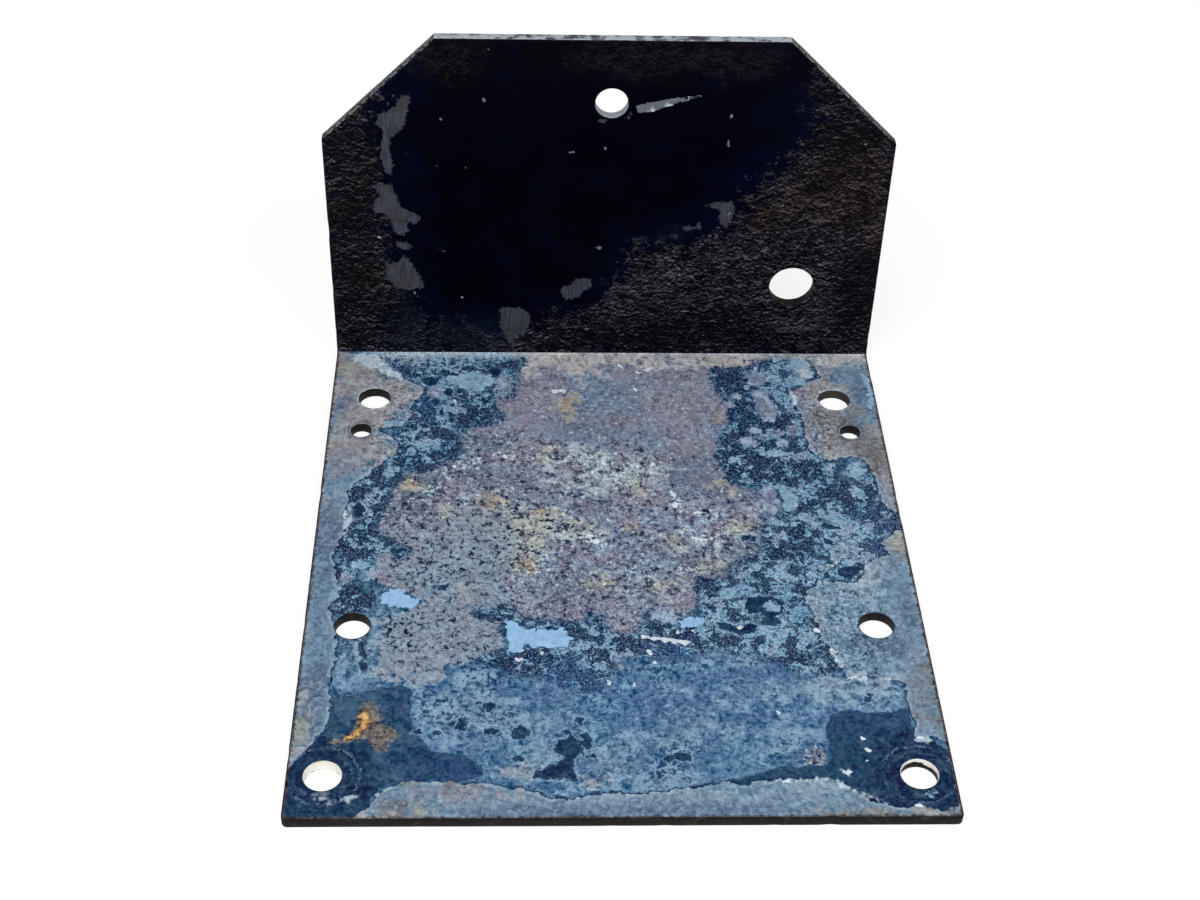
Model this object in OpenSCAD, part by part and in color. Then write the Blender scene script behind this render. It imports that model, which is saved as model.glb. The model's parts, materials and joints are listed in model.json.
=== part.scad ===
// Folded steel bracket that carries a loudspeaker. A flat base with pairs of bolt and screw holes is
// folded up at the back into an upright with cut-off top corners, one bolt hole and one cable hole.
// Millimetres. X runs along the fold, Y from the free edge of the base towards the upright, Z up.
// The origin lies on the underside of the base, under the middle of the bracket's outline.

/* [Sheet] */
// Thickness of the steel sheet
sheet_t = 2; // [1:0.1:4]
// Inside radius of the fold
fold_inside_r = 0.8; // [0.4:0.1:4]

/* [Base] */
// Width of the bracket, along the fold
bracket_w = 112.5; // [95:0.5:150]
// Length of the base, from its free edge to the back of the upright
base_l = 127; // [110:0.5:180]
// Radius of the two free corners of the base
base_corner_r = 1; // [0.2:0.1:5]

/* [Upright] */
// Height of the upright, from the underside of the base to its top edge
upright_h = 76.2; // [60:0.2:110]
// Share of the width that each top corner loses
corner_cut_w = 22.4; // [5:0.1:35]
// Share of the height that each top corner loses
corner_cut_h = 22.2; // [5:0.1:35]

/* [Hole sizes] */
// Diameter of the bolt holes
bolt_hole_d = 6.35; // [4:0.05:8]
// Diameter of the screw holes
screw_hole_d = 4; // [2:0.05:5]
// Diameter of the cable hole
cable_hole_d = 9.2; // [6:0.1:14]

/* [Base holes] */
// Front bolt holes, from the side edges
front_bolt_side = 6.15; // [5:0.05:20]
// Front bolt holes, from the free edge
front_bolt_inset = 9.25; // [5:0.05:30]
// Middle bolt holes, from the side edges
middle_bolt_side = 8.75; // [5:0.05:20]
// Middle bolt holes, from the free edge
middle_bolt_inset = 44.2; // [38:0.1:60]
// Rear bolt holes, from the side edges
rear_bolt_side = 8.85; // [5:0.05:20]
// Rear bolt holes, from the upright
rear_bolt_inset = 15.7; // [10:0.1:19]
// Screw holes, from the side edges
screw_side = 6.75; // [4:0.05:20]
// Screw holes, from the upright
screw_inset = 25.95; // [25:0.05:35]

/* [Upright holes] */
// Middle bolt hole of the upright, from the top edge
top_bolt_inset = 13.6; // [6:0.1:25]
// Cable hole, from the right-hand side edge
cable_hole_side = 17.7; // [10:0.1:40]
// Cable hole, from the underside of the base
cable_hole_rise = 19.6; // [14:0.1:30]

/* [Hidden] */
$fn = 96;

// Every cutter runs this far past the faces that it cuts
overshoot = 1;
fold_outside_r = fold_inside_r + sheet_t;
half_w = bracket_w / 2;
half_l = base_l / 2;
// Face of the upright that looks over the base
upright_face_y = half_l - sheet_t;
sheet_colour = [0.27, 0.33, 0.40];

// A quarter of a ring, from straight down round to straight out: the fold seen from the side
module fold_section() {
    intersection() {
        difference() {
            circle(r = fold_outside_r);
            circle(r = fold_inside_r);
        }
        translate([0, -fold_outside_r])
            square(fold_outside_r);
    }
}

// The folded sheet seen from the side, with Y to the right and Z up
module side_section() {
    translate([-half_l, 0])
        square([base_l - fold_outside_r, sheet_t]);
    translate([half_l - fold_outside_r, fold_outside_r])
        fold_section();
    translate([upright_face_y, fold_outside_r])
        square([sheet_t, upright_h - fold_outside_r]);
}

module folded_sheet() {
    rotate([90, 0, 90])
        linear_extrude(height = bracket_w, center = true)
            side_section();
}

// What is sheared off one top corner of the upright; side is -1 for the left and 1 for the right
module corner_cut(side) {
    translate([0, half_l + overshoot, 0])
        rotate([90, 0, 0])
            linear_extrude(height = sheet_t + 2 * overshoot)
                polygon([
                    [side * (half_w - corner_cut_w), upright_h],
                    [side * half_w, upright_h - corner_cut_h],
                    [side * (half_w + corner_cut_w), upright_h - corner_cut_h],
                    [side * (half_w + corner_cut_w), upright_h + corner_cut_h],
                    [side * (half_w - corner_cut_w), upright_h + corner_cut_h],
                ]);
}

// The sliver that rounding takes off one free corner of the base
module corner_rounding(side) {
    reach = base_corner_r + overshoot;
    translate([side * (half_w - base_corner_r), base_corner_r - half_l, -overshoot])
        linear_extrude(height = sheet_t + 2 * overshoot)
            difference() {
                translate([side < 0 ? -reach : 0, -reach])
                    square(reach);
                circle(r = base_corner_r);
            }
}

// A hole down through the base
module base_hole(x, y, d) {
    translate([x, y, -overshoot])
        cylinder(d = d, h = sheet_t + 2 * overshoot);
}

// A hole of the same size near each side edge of the base
module base_hole_pair(from_side, y, d) {
    for (side = [-1, 1])
        base_hole(side * (half_w - from_side), y, d);
}

// A hole back through the upright
module upright_hole(x, z, d) {
    translate([x, half_l + overshoot, z])
        rotate([90, 0, 0])
            cylinder(d = d, h = sheet_t + 2 * overshoot);
}

module base_holes() {
    base_hole_pair(front_bolt_side, front_bolt_inset - half_l, bolt_hole_d);
    base_hole_pair(middle_bolt_side, middle_bolt_inset - half_l, bolt_hole_d);
    base_hole_pair(rear_bolt_side, upright_face_y - rear_bolt_inset, bolt_hole_d);
    base_hole_pair(screw_side, upright_face_y - screw_inset, screw_hole_d);
}

module upright_holes() {
    upright_hole(0, upright_h - top_bolt_inset, bolt_hole_d);
    upright_hole(half_w - cable_hole_side, cable_hole_rise, cable_hole_d);
}

module bracket() {
    color(sheet_colour)
        difference() {
            folded_sheet();
            for (side = [-1, 1]) {
                corner_cut(side);
                corner_rounding(side);
            }
            base_holes();
            upright_holes();
        }
}

bracket();
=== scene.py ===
"""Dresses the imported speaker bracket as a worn, stained folded sheet and sets it on a plain studio stage."""

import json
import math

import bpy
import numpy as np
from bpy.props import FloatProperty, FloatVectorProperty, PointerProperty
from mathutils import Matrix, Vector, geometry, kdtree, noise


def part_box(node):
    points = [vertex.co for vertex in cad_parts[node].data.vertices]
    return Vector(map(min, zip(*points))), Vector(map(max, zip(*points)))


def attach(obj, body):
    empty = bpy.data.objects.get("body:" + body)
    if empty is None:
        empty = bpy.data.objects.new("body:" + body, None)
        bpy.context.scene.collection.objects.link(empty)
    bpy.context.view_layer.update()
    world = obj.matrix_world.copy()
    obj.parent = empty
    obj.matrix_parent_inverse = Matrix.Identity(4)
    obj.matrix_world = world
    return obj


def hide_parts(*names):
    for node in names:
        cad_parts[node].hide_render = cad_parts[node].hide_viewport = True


bl_info = {
    "name": "Worn Speaker Bracket",
    "version": (1, 0, 0),
    "blender": (4, 5, 0),
    "location": "View3D > Sidebar > Bracket",
    "description": "Makes a folded steel bracket with worn, stained paint, and a plain studio stage",
    "category": "Add Mesh",
}

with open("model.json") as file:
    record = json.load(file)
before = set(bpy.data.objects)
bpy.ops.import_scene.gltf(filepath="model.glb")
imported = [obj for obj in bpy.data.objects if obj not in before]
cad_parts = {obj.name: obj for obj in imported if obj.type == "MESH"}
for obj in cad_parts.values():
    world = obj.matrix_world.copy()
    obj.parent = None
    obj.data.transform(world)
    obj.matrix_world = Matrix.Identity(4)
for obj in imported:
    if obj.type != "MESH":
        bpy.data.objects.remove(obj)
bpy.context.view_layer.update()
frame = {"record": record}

MM = 0.001
NODE = "bracket"
BODY = "root"
MOUNTS = {mount["name"]: mount for mount in frame["record"]["mounts"]}
LOW, HIGH = ([1000 * value for value in corner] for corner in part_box(NODE))

# Finishes of the sheet's faces, in the order of the material slots
BASE_TOP, UPRIGHT_FRONT, OUTER_SIDE, CUT_EDGE = range(4)


def srgb(red, green, blue):
    """A colour as seen on screen, 0 to 255, as the linear values that shaders take."""
    shares = (red / 255, green / 255, blue / 255)
    return tuple(s / 12.92 if s <= 0.04045 else ((s + 0.055) / 1.055) ** 2.4 for s in shares)


def length(name, description, millimetres):
    """A size that a user can change; the default is given in millimetres."""
    return FloatProperty(name=name, description=description, default=millimetres * MM, min=0, unit="LENGTH")


def colour(name, description, red, green, blue):
    """A colour that a user can change; the default is given as seen on screen."""
    return FloatVectorProperty(name=name, description=description, default=srgb(red, green, blue),
                               subtype="COLOR", size=3, min=0, max=1)


def power(name, description, watts):
    """The power of a lamp, which a user can change."""
    return FloatProperty(name=name, description=description, default=watts, min=0, unit="POWER")


class BracketSizes(bpy.types.PropertyGroup):
    """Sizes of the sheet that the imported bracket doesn't state as a box or a mount"""

    sheet: length("Sheet", "Thickness of the sheet", MOUNTS["upright_bolt"]["dims"]["length_mm"])
    fold_inside: length("Inside of fold", "Inside radius of the fold", 0.8)
    cut_width: length("Corner cut width", "Width that each top corner loses", 22.4)
    cut_height: length("Corner cut height", "Height that each top corner loses", 22.2)
    base_corner: length("Base corner", "Radius of the free corners of the base", 1.0)
    cut_corner: length("Cut corner", "Radius where a corner cut meets a straight edge", 0.8)
    edge: length("Worn edge", "Radius to which handling has worn the outer edges", 0.22)
    rim: length("Hole rim", "Radius of the rims of the holes", 0.1)
    edge_nicks: length("Edge nicks", "Depth of the nicks along the cut edges", 0.14)
    facet: length("Facet", "Spacing of the mesh on the seen side", 0.68)
    outer_facet: length("Outer facet", "Spacing of the mesh on the outer side", 1.7)
    wrinkle: length("Wrinkle", "Height of the wrinkles in the rough paint", 0.09)
    bow: length("Bow", "How far the flats are out of true", 0.12)


class BracketColours(bpy.types.PropertyGroup):
    """Colours of the finishes, as they look in plain light"""

    steel: colour("Steel", "Stained bare steel", 121, 138, 164)
    steel_brown: colour("Brown steel", "Stained steel where it has browned", 130, 132, 149)
    steel_ashen: colour("Ashen steel", "Stained steel where it has greyed", 110, 128, 152)
    steel_purple: colour("Purple steel", "Stained steel with a purple cast", 104, 112, 134)
    slate: colour("Slate", "Dark stains on the steel", 88, 108, 126)
    steel_green: colour("Green steel", "Pale grey-green bloom on the steel", 164, 178, 186)
    tawny: colour("Tawny", "Small rusty stains", 158, 142, 124)
    frost: colour("Frost", "Pale crumbs on the steel", 178, 196, 202)
    pale_tan: colour("Pale tan", "Pale dust along the fold", 176, 173, 173)
    yellowed: colour("Yellowed", "Yellowish bloom on the steel", 156, 156, 144)
    tan: colour("Tan", "Pitted grey crust on the steel", 130, 144, 159)
    tan_green: colour("Green tan", "Crust with a green cast", 122, 143, 159)
    # Bloom also carries a painted reflection of the sky on the near part of the base
    bloom: colour("Bloom", "Weathered blue-grey paint", 73, 107, 142)
    bloom_pale: colour("Pale bloom", "Chalked paint", 102, 140, 169)
    bloom_dark: colour("Dark bloom", "Paint that has begun to chalk", 38, 72, 108)
    bloom_light: colour("Light bloom", "Palest chalked paint", 119, 156, 184)
    # Sky is a painted reflection of the sky, laid as light blue streaks
    sky: colour("Sky", "Paint with a light blue sheen", 121, 160, 194)
    side: colour("Side paint", "Chalked paint along the sides and the back", 53, 86, 113)
    flake: colour("Flakes", "Pale places where dark paint has flaked", 140, 176, 203)
    flake_lilac: colour("Lilac flakes", "Flaked places with a lilac cast", 143, 163, 186)
    flake_blue: colour("Blue flakes", "Flaked places with a blue cast", 124, 161, 192)
    deep_blue: colour("Deep blue", "Paint that is still blue", 54, 86, 134)
    navy: colour("Navy", "Sound dark paint", 4, 44, 76)
    navy_blue: colour("Blue navy", "Sound dark paint with a blue sheen", 32, 67, 97)
    deep_navy: colour("Deep navy", "Sound paint with a royal blue cast", 40, 69, 108)
    navy_pale: colour("Pale navy", "Sound paint that has dulled", 62, 92, 118)
    pit: colour("Pit", "Dark pits in the crust", 38, 58, 78)
    border: colour("Border", "Smooth stained border", 112, 139, 161)
    border_grey: colour("Grey border", "Smooth border where it has greyed", 126, 148, 166)
    border_blue: colour("Blue border", "Smooth border with a blue cast", 82, 104, 131)
    border_lilac: colour("Lilac border", "Smooth border with a lilac cast", 124, 128, 144)
    border_brown: colour("Brown border", "Smooth border where it has browned", 150, 144, 146)
    border_dusk: colour("Dusky border", "Smooth border where it has darkened", 98, 97, 98)
    # Whitened also gives the painted highlight along the bend of the fold
    whitened: colour("Whitened", "Chalky streaks", 178, 196, 208)
    lilac: colour("Lilac", "Faded paint", 120, 129, 152)
    bare: colour("Bare", "Bare patches with a blue sheen", 146, 186, 222)
    bare_dull: colour("Dull bare", "Bare patches that have dulled", 130, 164, 188)
    fleck: colour("Fleck", "White flecks and scratches", 200, 213, 224)
    rust: colour("Rust", "Fresh rust", 206, 170, 116)
    rust_orange: colour("Orange rust", "The brightest rust", 178, 128, 74)
    rust_brown: colour("Old rust", "Old rust", 112, 103, 95)
    rust_dark: colour("Dark rust", "Dark line round the rust", 78, 62, 52)
    # Edge line also gives the painted shade along the top's cut edges; elsewhere it is brown wear
    edge_brown: colour("Edge line", "Dark brown line along the edges", 70, 58, 54)
    gloss: colour("Gloss", "Black paint that still shines", 1, 1, 8)
    gloss_blue: colour("Blue gloss", "Black paint with a blue sheen", 1, 3, 23)
    rough: colour("Rough", "Wrinkled black paint", 22, 22, 30)
    # The next two are painted shade in the wrinkles' hollows and painted highlights on their crests
    pitch: colour("Pitch", "Hollows of the wrinkled paint", 2, 2, 8)
    crest_highlight: colour("Crest", "Crests of the wrinkles", 99, 96, 104)
    # The red tint also colours those painted highlights where rust shows through
    rough_red: colour("Red tint", "Rust that shows through the wrinkled paint", 92, 76, 74)
    teal: colour("Teal", "Green-blue stain low on the upright", 14, 28, 44)
    chip: colour("Chip", "Chips down to the grey primer", 63, 66, 76)
    chip_brown: colour("Rusty chip", "Chips where rust has begun", 54, 51, 49)
    fleck_dim: colour("Dim fleck", "Small scratches in the black paint", 96, 101, 108)
    edge_dark: colour("Dark edge", "Painted cut edges", 14, 12, 10)
    rubbed: colour("Rubbed", "Hole walls rubbed bare", 236, 234, 226)
    dusty: colour("Dusty", "Hole walls covered in dust", 62, 57, 52)
    olive: colour("Olive", "Stains on the rubbed walls", 184, 178, 146)
    # Bright edge is painted light on up-facing cut edges, not wear
    edge_highlight: colour("Bright edge", "Cut edges worn bright", 164, 172, 180)


class BracketStage(bpy.types.PropertyGroup):
    """Light, floor and camera"""

    floor: colour("Floor", "Colour of the floor", 250, 250, 250)
    sky: FloatProperty(name="Sky", description="Strength of the light from all round", default=0.36, min=0)
    key: power("Key", "Power of the large lamp above the front left", 7.2)
    fill: power("Fill", "Power of the lamp on the front right", 3.6)
    lens: FloatProperty(name="Lens", description="Focal length on a 36 mm sensor", default=58.93, min=1)


# Points round an oval mark, and steps along a curved one
OVAL_POINTS = 14
ARC_STEPS = 16


def oval(x, y, half_x, half_y, turn=0):
    """A round mark, turned by degrees."""
    turn = math.radians(turn)
    points = []
    for step in range(OVAL_POINTS):
        angle = math.tau * step / OVAL_POINTS
        across = half_x * math.cos(angle)
        along = half_y * math.sin(angle)
        points.append((x + across * math.cos(turn) - along * math.sin(turn),
                       y + across * math.sin(turn) + along * math.cos(turn)))
    return points


def ovals(*rows):
    """Round marks; each row has a middle, two half sizes and, where the mark is turned, its degrees."""
    return [oval(*row) for row in rows]


def streak(x0, y0, x1, y1, width):
    """A long mark from one place to another, narrowing at both ends."""
    run = x1 - x0
    rise = y1 - y0
    turn = math.degrees(math.atan2(rise, run))
    return oval((x0 + x1) / 2, (y0 + y1) / 2, math.hypot(run, rise) / 2, width / 2, turn)


def arc(x, y, radius, width, start, end):
    """A curved mark: part of a ring, between two angles in degrees."""
    turns = [math.radians(start + (end - start) * step / ARC_STEPS) for step in range(ARC_STEPS + 1)]
    outer = radius + width / 2
    inner = radius - width / 2
    outside = [(x + outer * math.cos(turn), y + outer * math.sin(turn)) for turn in turns]
    inside = [(x + inner * math.cos(turn), y + inner * math.sin(turn)) for turn in reversed(turns)]
    return outside + inside


# Marks on the base, in millimetres: across it, and along it towards the fold
BASE_MARKS = {
    "steel": (
        ((-17.5, 62), (-17, 57), (-19, 52), (-19.3, 48), (-22.8, 45.8), (-23, 43), (-21.8, 40),
         (-24.5, 37.7), (-28.5, 36.8), (-30, 34), (-30, 30), (-31.5, 27.5), (-36, 24.5), (-40, 23.5),
         (-41.5, 20.5), (-43, 16), (-44.5, 11), (-45, 6), (-44, 1), (-44, -9), (-30, -15), (-20, -16),
         (-17, -18.5), (-14, -18), (-10, -19), (-5.5, -19), (-4, -17), (-2.5, -19), (-1, -22), (1, -23),
         (4, -21.5), (5, -18.5), (6, -15.5), (10, -15.5), (12, -17), (16, -14), (16.5, -9), (19, -8.5),
         (21.5, -6), (24, -5.5), (26.5, -4), (27.5, -1.5), (29, 1), (30.2, 4), (30, 9), (29.5, 14),
         (29.8, 18), (27, 19), (24.5, 20.5), (23, 25), (22.5, 30), (23.5, 35.5), (26, 39), (26.5, 43.5),
         (25.5, 46), (24, 49), (22.8, 54), (25, 56), (31, 55.8), (33, 58.5), (36, 62)),
        *ovals((-1.8, -25, 2.8, 2, -20), (33.4, -51.6, 2.6, 3.6), (-28.5, -41.2, 0.9, 0.6)),
    ),
    "browned": ovals(
        (-15, 45, 5, 9), (-22, 35, 7, 2.5), (-10, 58, 7, 2), (8, 46, 2, 3), (22.5, 43, 3, 5),
        (21.5, 30.5, 1.5, 2), (15, 44, 6, 12), (-8, -14, 8, 3.5), (2, -19, 3.5, 4), (-26, -11, 2.5, 3),
        (13, -11, 4, 4), (27, 9, 3, 5), (-42, 10, 2.4, 6), (-30, 34, 3, 2), (-35, 10, 3, 2),
    ),
    "purple": ovals(
        (17, 24, 6, 6), (-19, 20, 8, 4), (-24, 23, 4, 2.5), (20, -4, 6, 4), (2, 13, 5, 3), (-7, -11, 9, 5),
        (-37, 14, 6, 7), (24, 17, 4, 3), (-3, 38, 6, 2), (-31, -23, 10, 6),
    ),
    "ashen": ovals(
        (0, 45, 9, 7), (-2, 34, 10, 4), (-6, 16, 3.4, 4), (8, 33, 5, 7), (7, -5, 6, 7), (-11, 13, 3, 4),
        (-10, -10, 8, 6), (4, -12, 4, 6), (12, 50, 8, 4), (5, 1, 5, 4), (-30, 24.5, 4, 2.4),
    ),
    "slate": ovals(
        (33.4, -51.6, 4, 5), (-37, 18, 4, 3), (-24, 31, 6.5, 2.4), (22, -1, 5, 4), (27, 2, 3, 4),
    ),
    "greened": ovals(
        (-6, 28, 4.4, 1.8), (-11, 26, 3, 1.8), (-3, 22, 3.4, 2), (4.4, 21.6, 4.4, 5.4), (0, 25, 4, 2.4),
        (-13, 28, 2.4, 1.6), (-1, 19, 4, 2), (-8, 21, 3, 2), (9, 24, 1.6, 3), (20.4, 4.6, 1.2, 2),
        (-9, 5, 3, 2.4), (-17, 4, 4, 5), (-40, 58.5, 3.5, 2.4), (46, 23.4, 2, 3, 30), (53, 4.8, 1.4, 1.2),
        (-46.4, -23, 2.2, 5), (34, 29, 2.6, 1), (44, -33.6, 6, 2.4), (36, -32.6, 3, 2.4),
        (48, -4.6, 3, 2.2),
    ),
    "yellowed": ovals(
        (5.5, 19, 3, 3.6), (-13.5, 27.6, 3, 2), (-31.5, 12.5, 1.4, 2.4), (-23, 14, 3, 2.4),
        (22.5, 20, 1.4, 1.4), (25, 7, 3, 1.6), (8, -9, 3, 1.6), (-8, 44, 1.6, 3), (12, 3, 2, 2),
        (-6, 7, 2.4, 1.4), (-13, 10.5, 4, 2), (-16, 5, 4, 4.6), (-2.5, -8.3, 2.8, 0.8), (25, 58, 6, 1.8),
        (-38.5, 19, 2.4, 1.5), (-18, -2, 2.4, 3), (18, -3, 2, 2), (-29, 18, 1.4, 1.2), (-54.5, 54, 1.8, 4),
        (45, -61.9, 6, 1.2), (55, 2.6, 1, 1.8), (-54.6, -40, 1.4, 6), (-33, -60.6, 2, 1.4),
    ),
    "tawny": ovals(
        (-11.3, 30.5, 0.9, 1.8), (-7.6, 44.5, 1.1, 2.5), (-38.5, 19.5, 1.6, 1.1), (-23.5, 14.2, 1.7, 1.4),
        (3.5, 7.5, 1.5, 1.1), (-13, 11.5, 1.4, 0.8), (5, 17.7, 2.2, 0.8), (-16, -3.4, 1, 0.8),
        (22.6, 40, 0.8, 2), (-27, -12, 1.4, 2), (-42, -63, 4, 0.6),
    ),
    "tan": (
        ((-45, 5), (-41, 5), (-37, 6), (-33, 7), (-30, 10), (-27, 12), (-22, 9), (-19, 5), (-18, 0),
         (-19.5, -5), (-21, -9), (-20.5, -13), (-22, -15.5), (-25, -15.8), (-20, -18), (-20.3, -22),
         (-20, -26.5), (-23, -27), (-27, -28), (-30, -29), (-31, -33), (-35, -34), (-38, -32.5),
         (-41, -32.5), (-43, -31), (-42.5, -26), (-42, -22), (-42.5, -18), (-40, -17.5), (-38, -15.5),
         (-34.5, -13.5), (-36, -11.5), (-38.5, -10), (-41, -8), (-43, -5), (-44.5, -2.5), (-43, 0),
         (-45, 3)),
        *ovals(
            (45, 12, 2.6, 1.6), (43, 4, 2.6, 2.2), (28.7, -14.6, 1.8, 1.5), (-17, -53.4, 3.4, 1.8),
            (-5, -55, 2, 1.6),
        ),
        streak(-0.6, -26, 1, -31.5, 0.8), streak(-2.6, -27, -0.4, -31, 0.6),
    ),
    "pitted": ovals((-31, 2, 13, 8), (-15, 6, 9, 7), (-32, -22, 9, 7), (-25, 8, 7, 6)),
    "frost": (
        *ovals(
            (-29, 26.5, 3.6, 1.8), (-21, 27.5, 2.4, 1.4), (-31.5, 22, 1.2, 3), (-34, 18, 1.2, 2),
            (-28.5, 15.5, 1.6, 1.4), (12.6, 15, 1.2, 2.6),
        ),
        arc(17.5, 7.6, 4, 1.2, 190, 350),
        *ovals(
            (-14, -4.6, 1.8, 1.2), (-17, -8, 1.8, 1.6), (4, -4, 1.2, 1.6), (14, -4.5, 1.6, 1.4),
            (-3.4, 3.6, 2.4, 2.2), (12, 5, 1, 1.5), (20.5, 9, 1.2, 2.4), (-1, 27, 3, 1.6),
            (3.4, 22, 4.4, 4.6), (-7, 27, 5, 2), (20.4, 4.6, 1.4, 3), (7, 55.5, 3, 0.8, 20),
            (6.5, 49, 0.8, 2, 25), (-9.4, 48.5, 1.6, 0.8), (17, 11, 3, 0.8), (-22, 8, 1.4, 1),
            (-33, 24.5, 1.4, 1), (-47.5, 18, 1, 2.4), (-48, 1.5, 1.2, 1.2), (-46.6, 8, 1, 2),
            (8.8, 25.6, 0.9, 0.9),
        ),
    ),
    "deep_blue": ovals(
        (-9, -29, 3.6, 4.4), (10, -26.6, 3.4, 1.8), (2, -37, 5, 4), (27, -31, 3, 3), (0.8, -55, 2.6, 2.6),
        (-39, -38, 2.6, 4), (-31, -51.6, 7, 1.8, -8), (41, -43.5, 4, 3), (52.5, 8, 3, 4), (18, -39, 6, 2),
        (51, 1.4, 1.6, 2.6), (-36, 42, 2.4, 4), (-37, -46, 1.6, 3),
    ),
    "chalk": ovals(
        (-25, -40, 9, 8), (-6, -52, 14, 5), (27, -34, 3, 2), (12, -42, 8, 5), (8, -46, 3, 4),
        (-15, -42, 5, 4), (-37, -31, 6, 3), (36, -33, 3, 2.4), (45, -35, 6, 2.6), (22, -26, 4, 6),
        (8, -55, 5, 3), (32, -24, 4, 4), (-46, -24, 4.4, 8), (29, -47, 4, 4),
    ),
    "navy": (
        ((-45, 57.5), (-42, 55.5), (-40, 55), (-36, 56), (-30, 58), (-24, 58), (-20, 59), (-19, 55),
         (-19.5, 48), (-21, 46.5), (-23, 47.5), (-24, 44), (-22.2, 40.5), (-23, 38.7), (-28, 38),
         (-30, 36), (-31.5, 30), (-34, 34), (-37, 35), (-39.5, 39), (-39.5, 42), (-38, 46), (-37.2, 49.5),
         (-39, 51)),
        ((-47, 24), (-44, 24.3), (-40, 26), (-38, 26.5), (-40.5, 24), (-43, 18), (-44.7, 14), (-45.3, 9),
         (-47, 5), (-44, 3.4), (-40, 1.6), (-39, -0.5), (-43, 0.4), (-47, -1.5), (-48.5, -4), (-49, -8),
         (-47, -10.5), (-45.5, -12), (-45, -15.5), (-51.5, -15.5), (-52, -13), (-50.8, -9), (-52, -5),
         (-52, 0), (-51, 5), (-50.5, 10), (-51.5, 15), (-49, 20)),
        ((23, 55), (26, 56), (30, 55), (33, 58), (36, 59), (39, 58), (41, 55), (45, 54), (42, 52),
         (38.8, 50), (38.5, 45), (39.3, 41.5), (40, 38.5), (39.5, 34), (40.5, 30), (42.5, 27), (45, 26),
         (44, 22), (42, 20.5), (34, 20.5), (27, 19.5), (24.5, 21), (23, 27), (22.8, 32), (24, 36),
         (26, 39), (27, 43), (26.5, 46), (24.5, 49), (23.5, 52)),
        ((44, 22), (47, 19), (50, 20), (52.3, 24), (52.5, 18), (53, 13), (56.3, 11), (56.3, 6.5), (54, 6),
         (52, 4), (52, 0), (49, 0), (48.5, 4), (49, 8), (47, 13), (43, 11), (40, 8), (40.5, 2), (41, -2),
         (38, -3), (36, -5), (36, -10), (31, -8), (28, -8.5), (24, -9), (22, -6), (25, -3), (28, -1),
         (30, 2), (30, 7), (31, 10), (36, 10), (37.5, 14), (36.5, 18), (34, 20.5)),
        ((17, -8), (20, -9), (27, -10), (28.5, -12.5), (26, -16.5), (27.5, -19), (31, -18), (32, -14),
         (34, -10.5), (35.5, -10.5), (34.5, -14), (33, -17.5), (34, -22), (38, -25.5), (39, -29),
         (34, -29.5), (30, -26), (26, -22), (20, -23), (16.5, -21), (16.5, -16), (16, -12)),
        ((-25, -15.3), (-19, -15.6), (-17, -18), (-14, -18.6), (-9, -19.3), (-4, -19.5), (-3, -17.5),
         (-2.5, -20), (0, -22.5), (4, -22), (5, -19.5), (8, -19), (12, -20), (16, -18), (17, -24),
         (13, -26.5), (4, -26.5), (-1, -28), (-4, -34), (-8, -34), (-12, -31), (-18, -30), (-24, -28),
         (-20, -26.5), (-16, -25), (-9, -25), (-8, -22), (-9, -20.2), (-16, -20.4), (-20, -18)),
        ((-42.5, 33), (-40, 38), (-36, 37), (-31, 36), (-30.5, 28), (-36, 24.5), (-41, 23.5), (-44, 26),
         (-42.5, 30)),
        ((-46, 60.5), (-42, 56), (-36, 57.5), (-24, 59), (-18.5, 59), (-18, 62), (-46, 62)),
        ((36, 10), (40, 10), (44, 13), (49, 13), (49, 0), (52, -2), (52, -6), (50, -8), (44, -8), (38, -8),
         (36, -9), (36, -4)),
        ((16.5, -8), (24, -8), (36, -9), (35.5, -15), (37, -20), (38, -25), (39, -30), (33, -31),
         (28, -27), (22, -25), (16, -24)),
    ),
    "mottle": ovals(
        (-20, -32, 9, 4), (-19, -34, 6, 3), (-31, -38, 4, 5), (-13, -30, 7, 4), (-24, -40, 6, 3),
        (4, -29, 9, 4), (24, -26, 7, 4), (-6, -35, 6, 2), (30, -50, 5, 3), (8, -51, 5, 4),
    ),
    # Painted reflections of the sky: light blue streaks, most on the near part; the long one at the fold is a
    # painted highlight
    "sky": ovals(
        (-34.5, -41, 1.8, 6, 12), (-31, -47, 4, 1.6, -30), (-46, -32.6, 3.4, 0.9), (49, 3, 1.4, 6),
        (-44, -21.5, 1.4, 3), (34.5, -45, 2, 3), (-28, 60.4, 9, 0.9), (20, -26, 4, 2), (28, -46, 4, 3),
        (-15, -42, 3, 2),
    ),
    "dense": ovals(
        (33, 25, 8, 4.5), (27, 52, 3.6, 4), (29, 40, 4, 8), (36, 38, 1.8, 3), (-27, 41, 4, 3),
        (-36.5, 41, 2.6, 5), (46, 16.6, 5, 2.4), (48.6, 13.6, 2.4, 2), (52.5, 9, 4, 4), (51, 1, 2, 3),
        (10, -22.6, 6, 2), (-15, -28, 8, 3), (-22, -17, 4, 1.2), (28, -54, 6, 1.4), (33, 0, 3, 3),
        (36, 6, 2, 3), (-48, 11, 2, 4), (-24, 55, 3, 3), (25, 26, 2, 6), (-51, -3, 1.4, 5), (-47, 3, 2, 3),
        (-47, -12, 2.4, 3), (-37, 35, 3, 2), (-33, 29, 1.6, 3), (-47, 23, 3, 1.6), (-40, 53.4, 2, 2),
        (-39, 25, 4, 1.6), (18, -11, 1.6, 4), (36, -26, 2, 2), (-49, 17, 2, 4), (-50, 2, 1.6, 4),
        (-46, 10, 1.2, 5),
    ),
    "sparse": ovals(
        (-36, 31, 3, 3), (-32, 60, 14, 1.6), (-36, 57, 3, 1.6), (-21, 50, 2, 4), (-34, 48, 2, 3),
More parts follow.
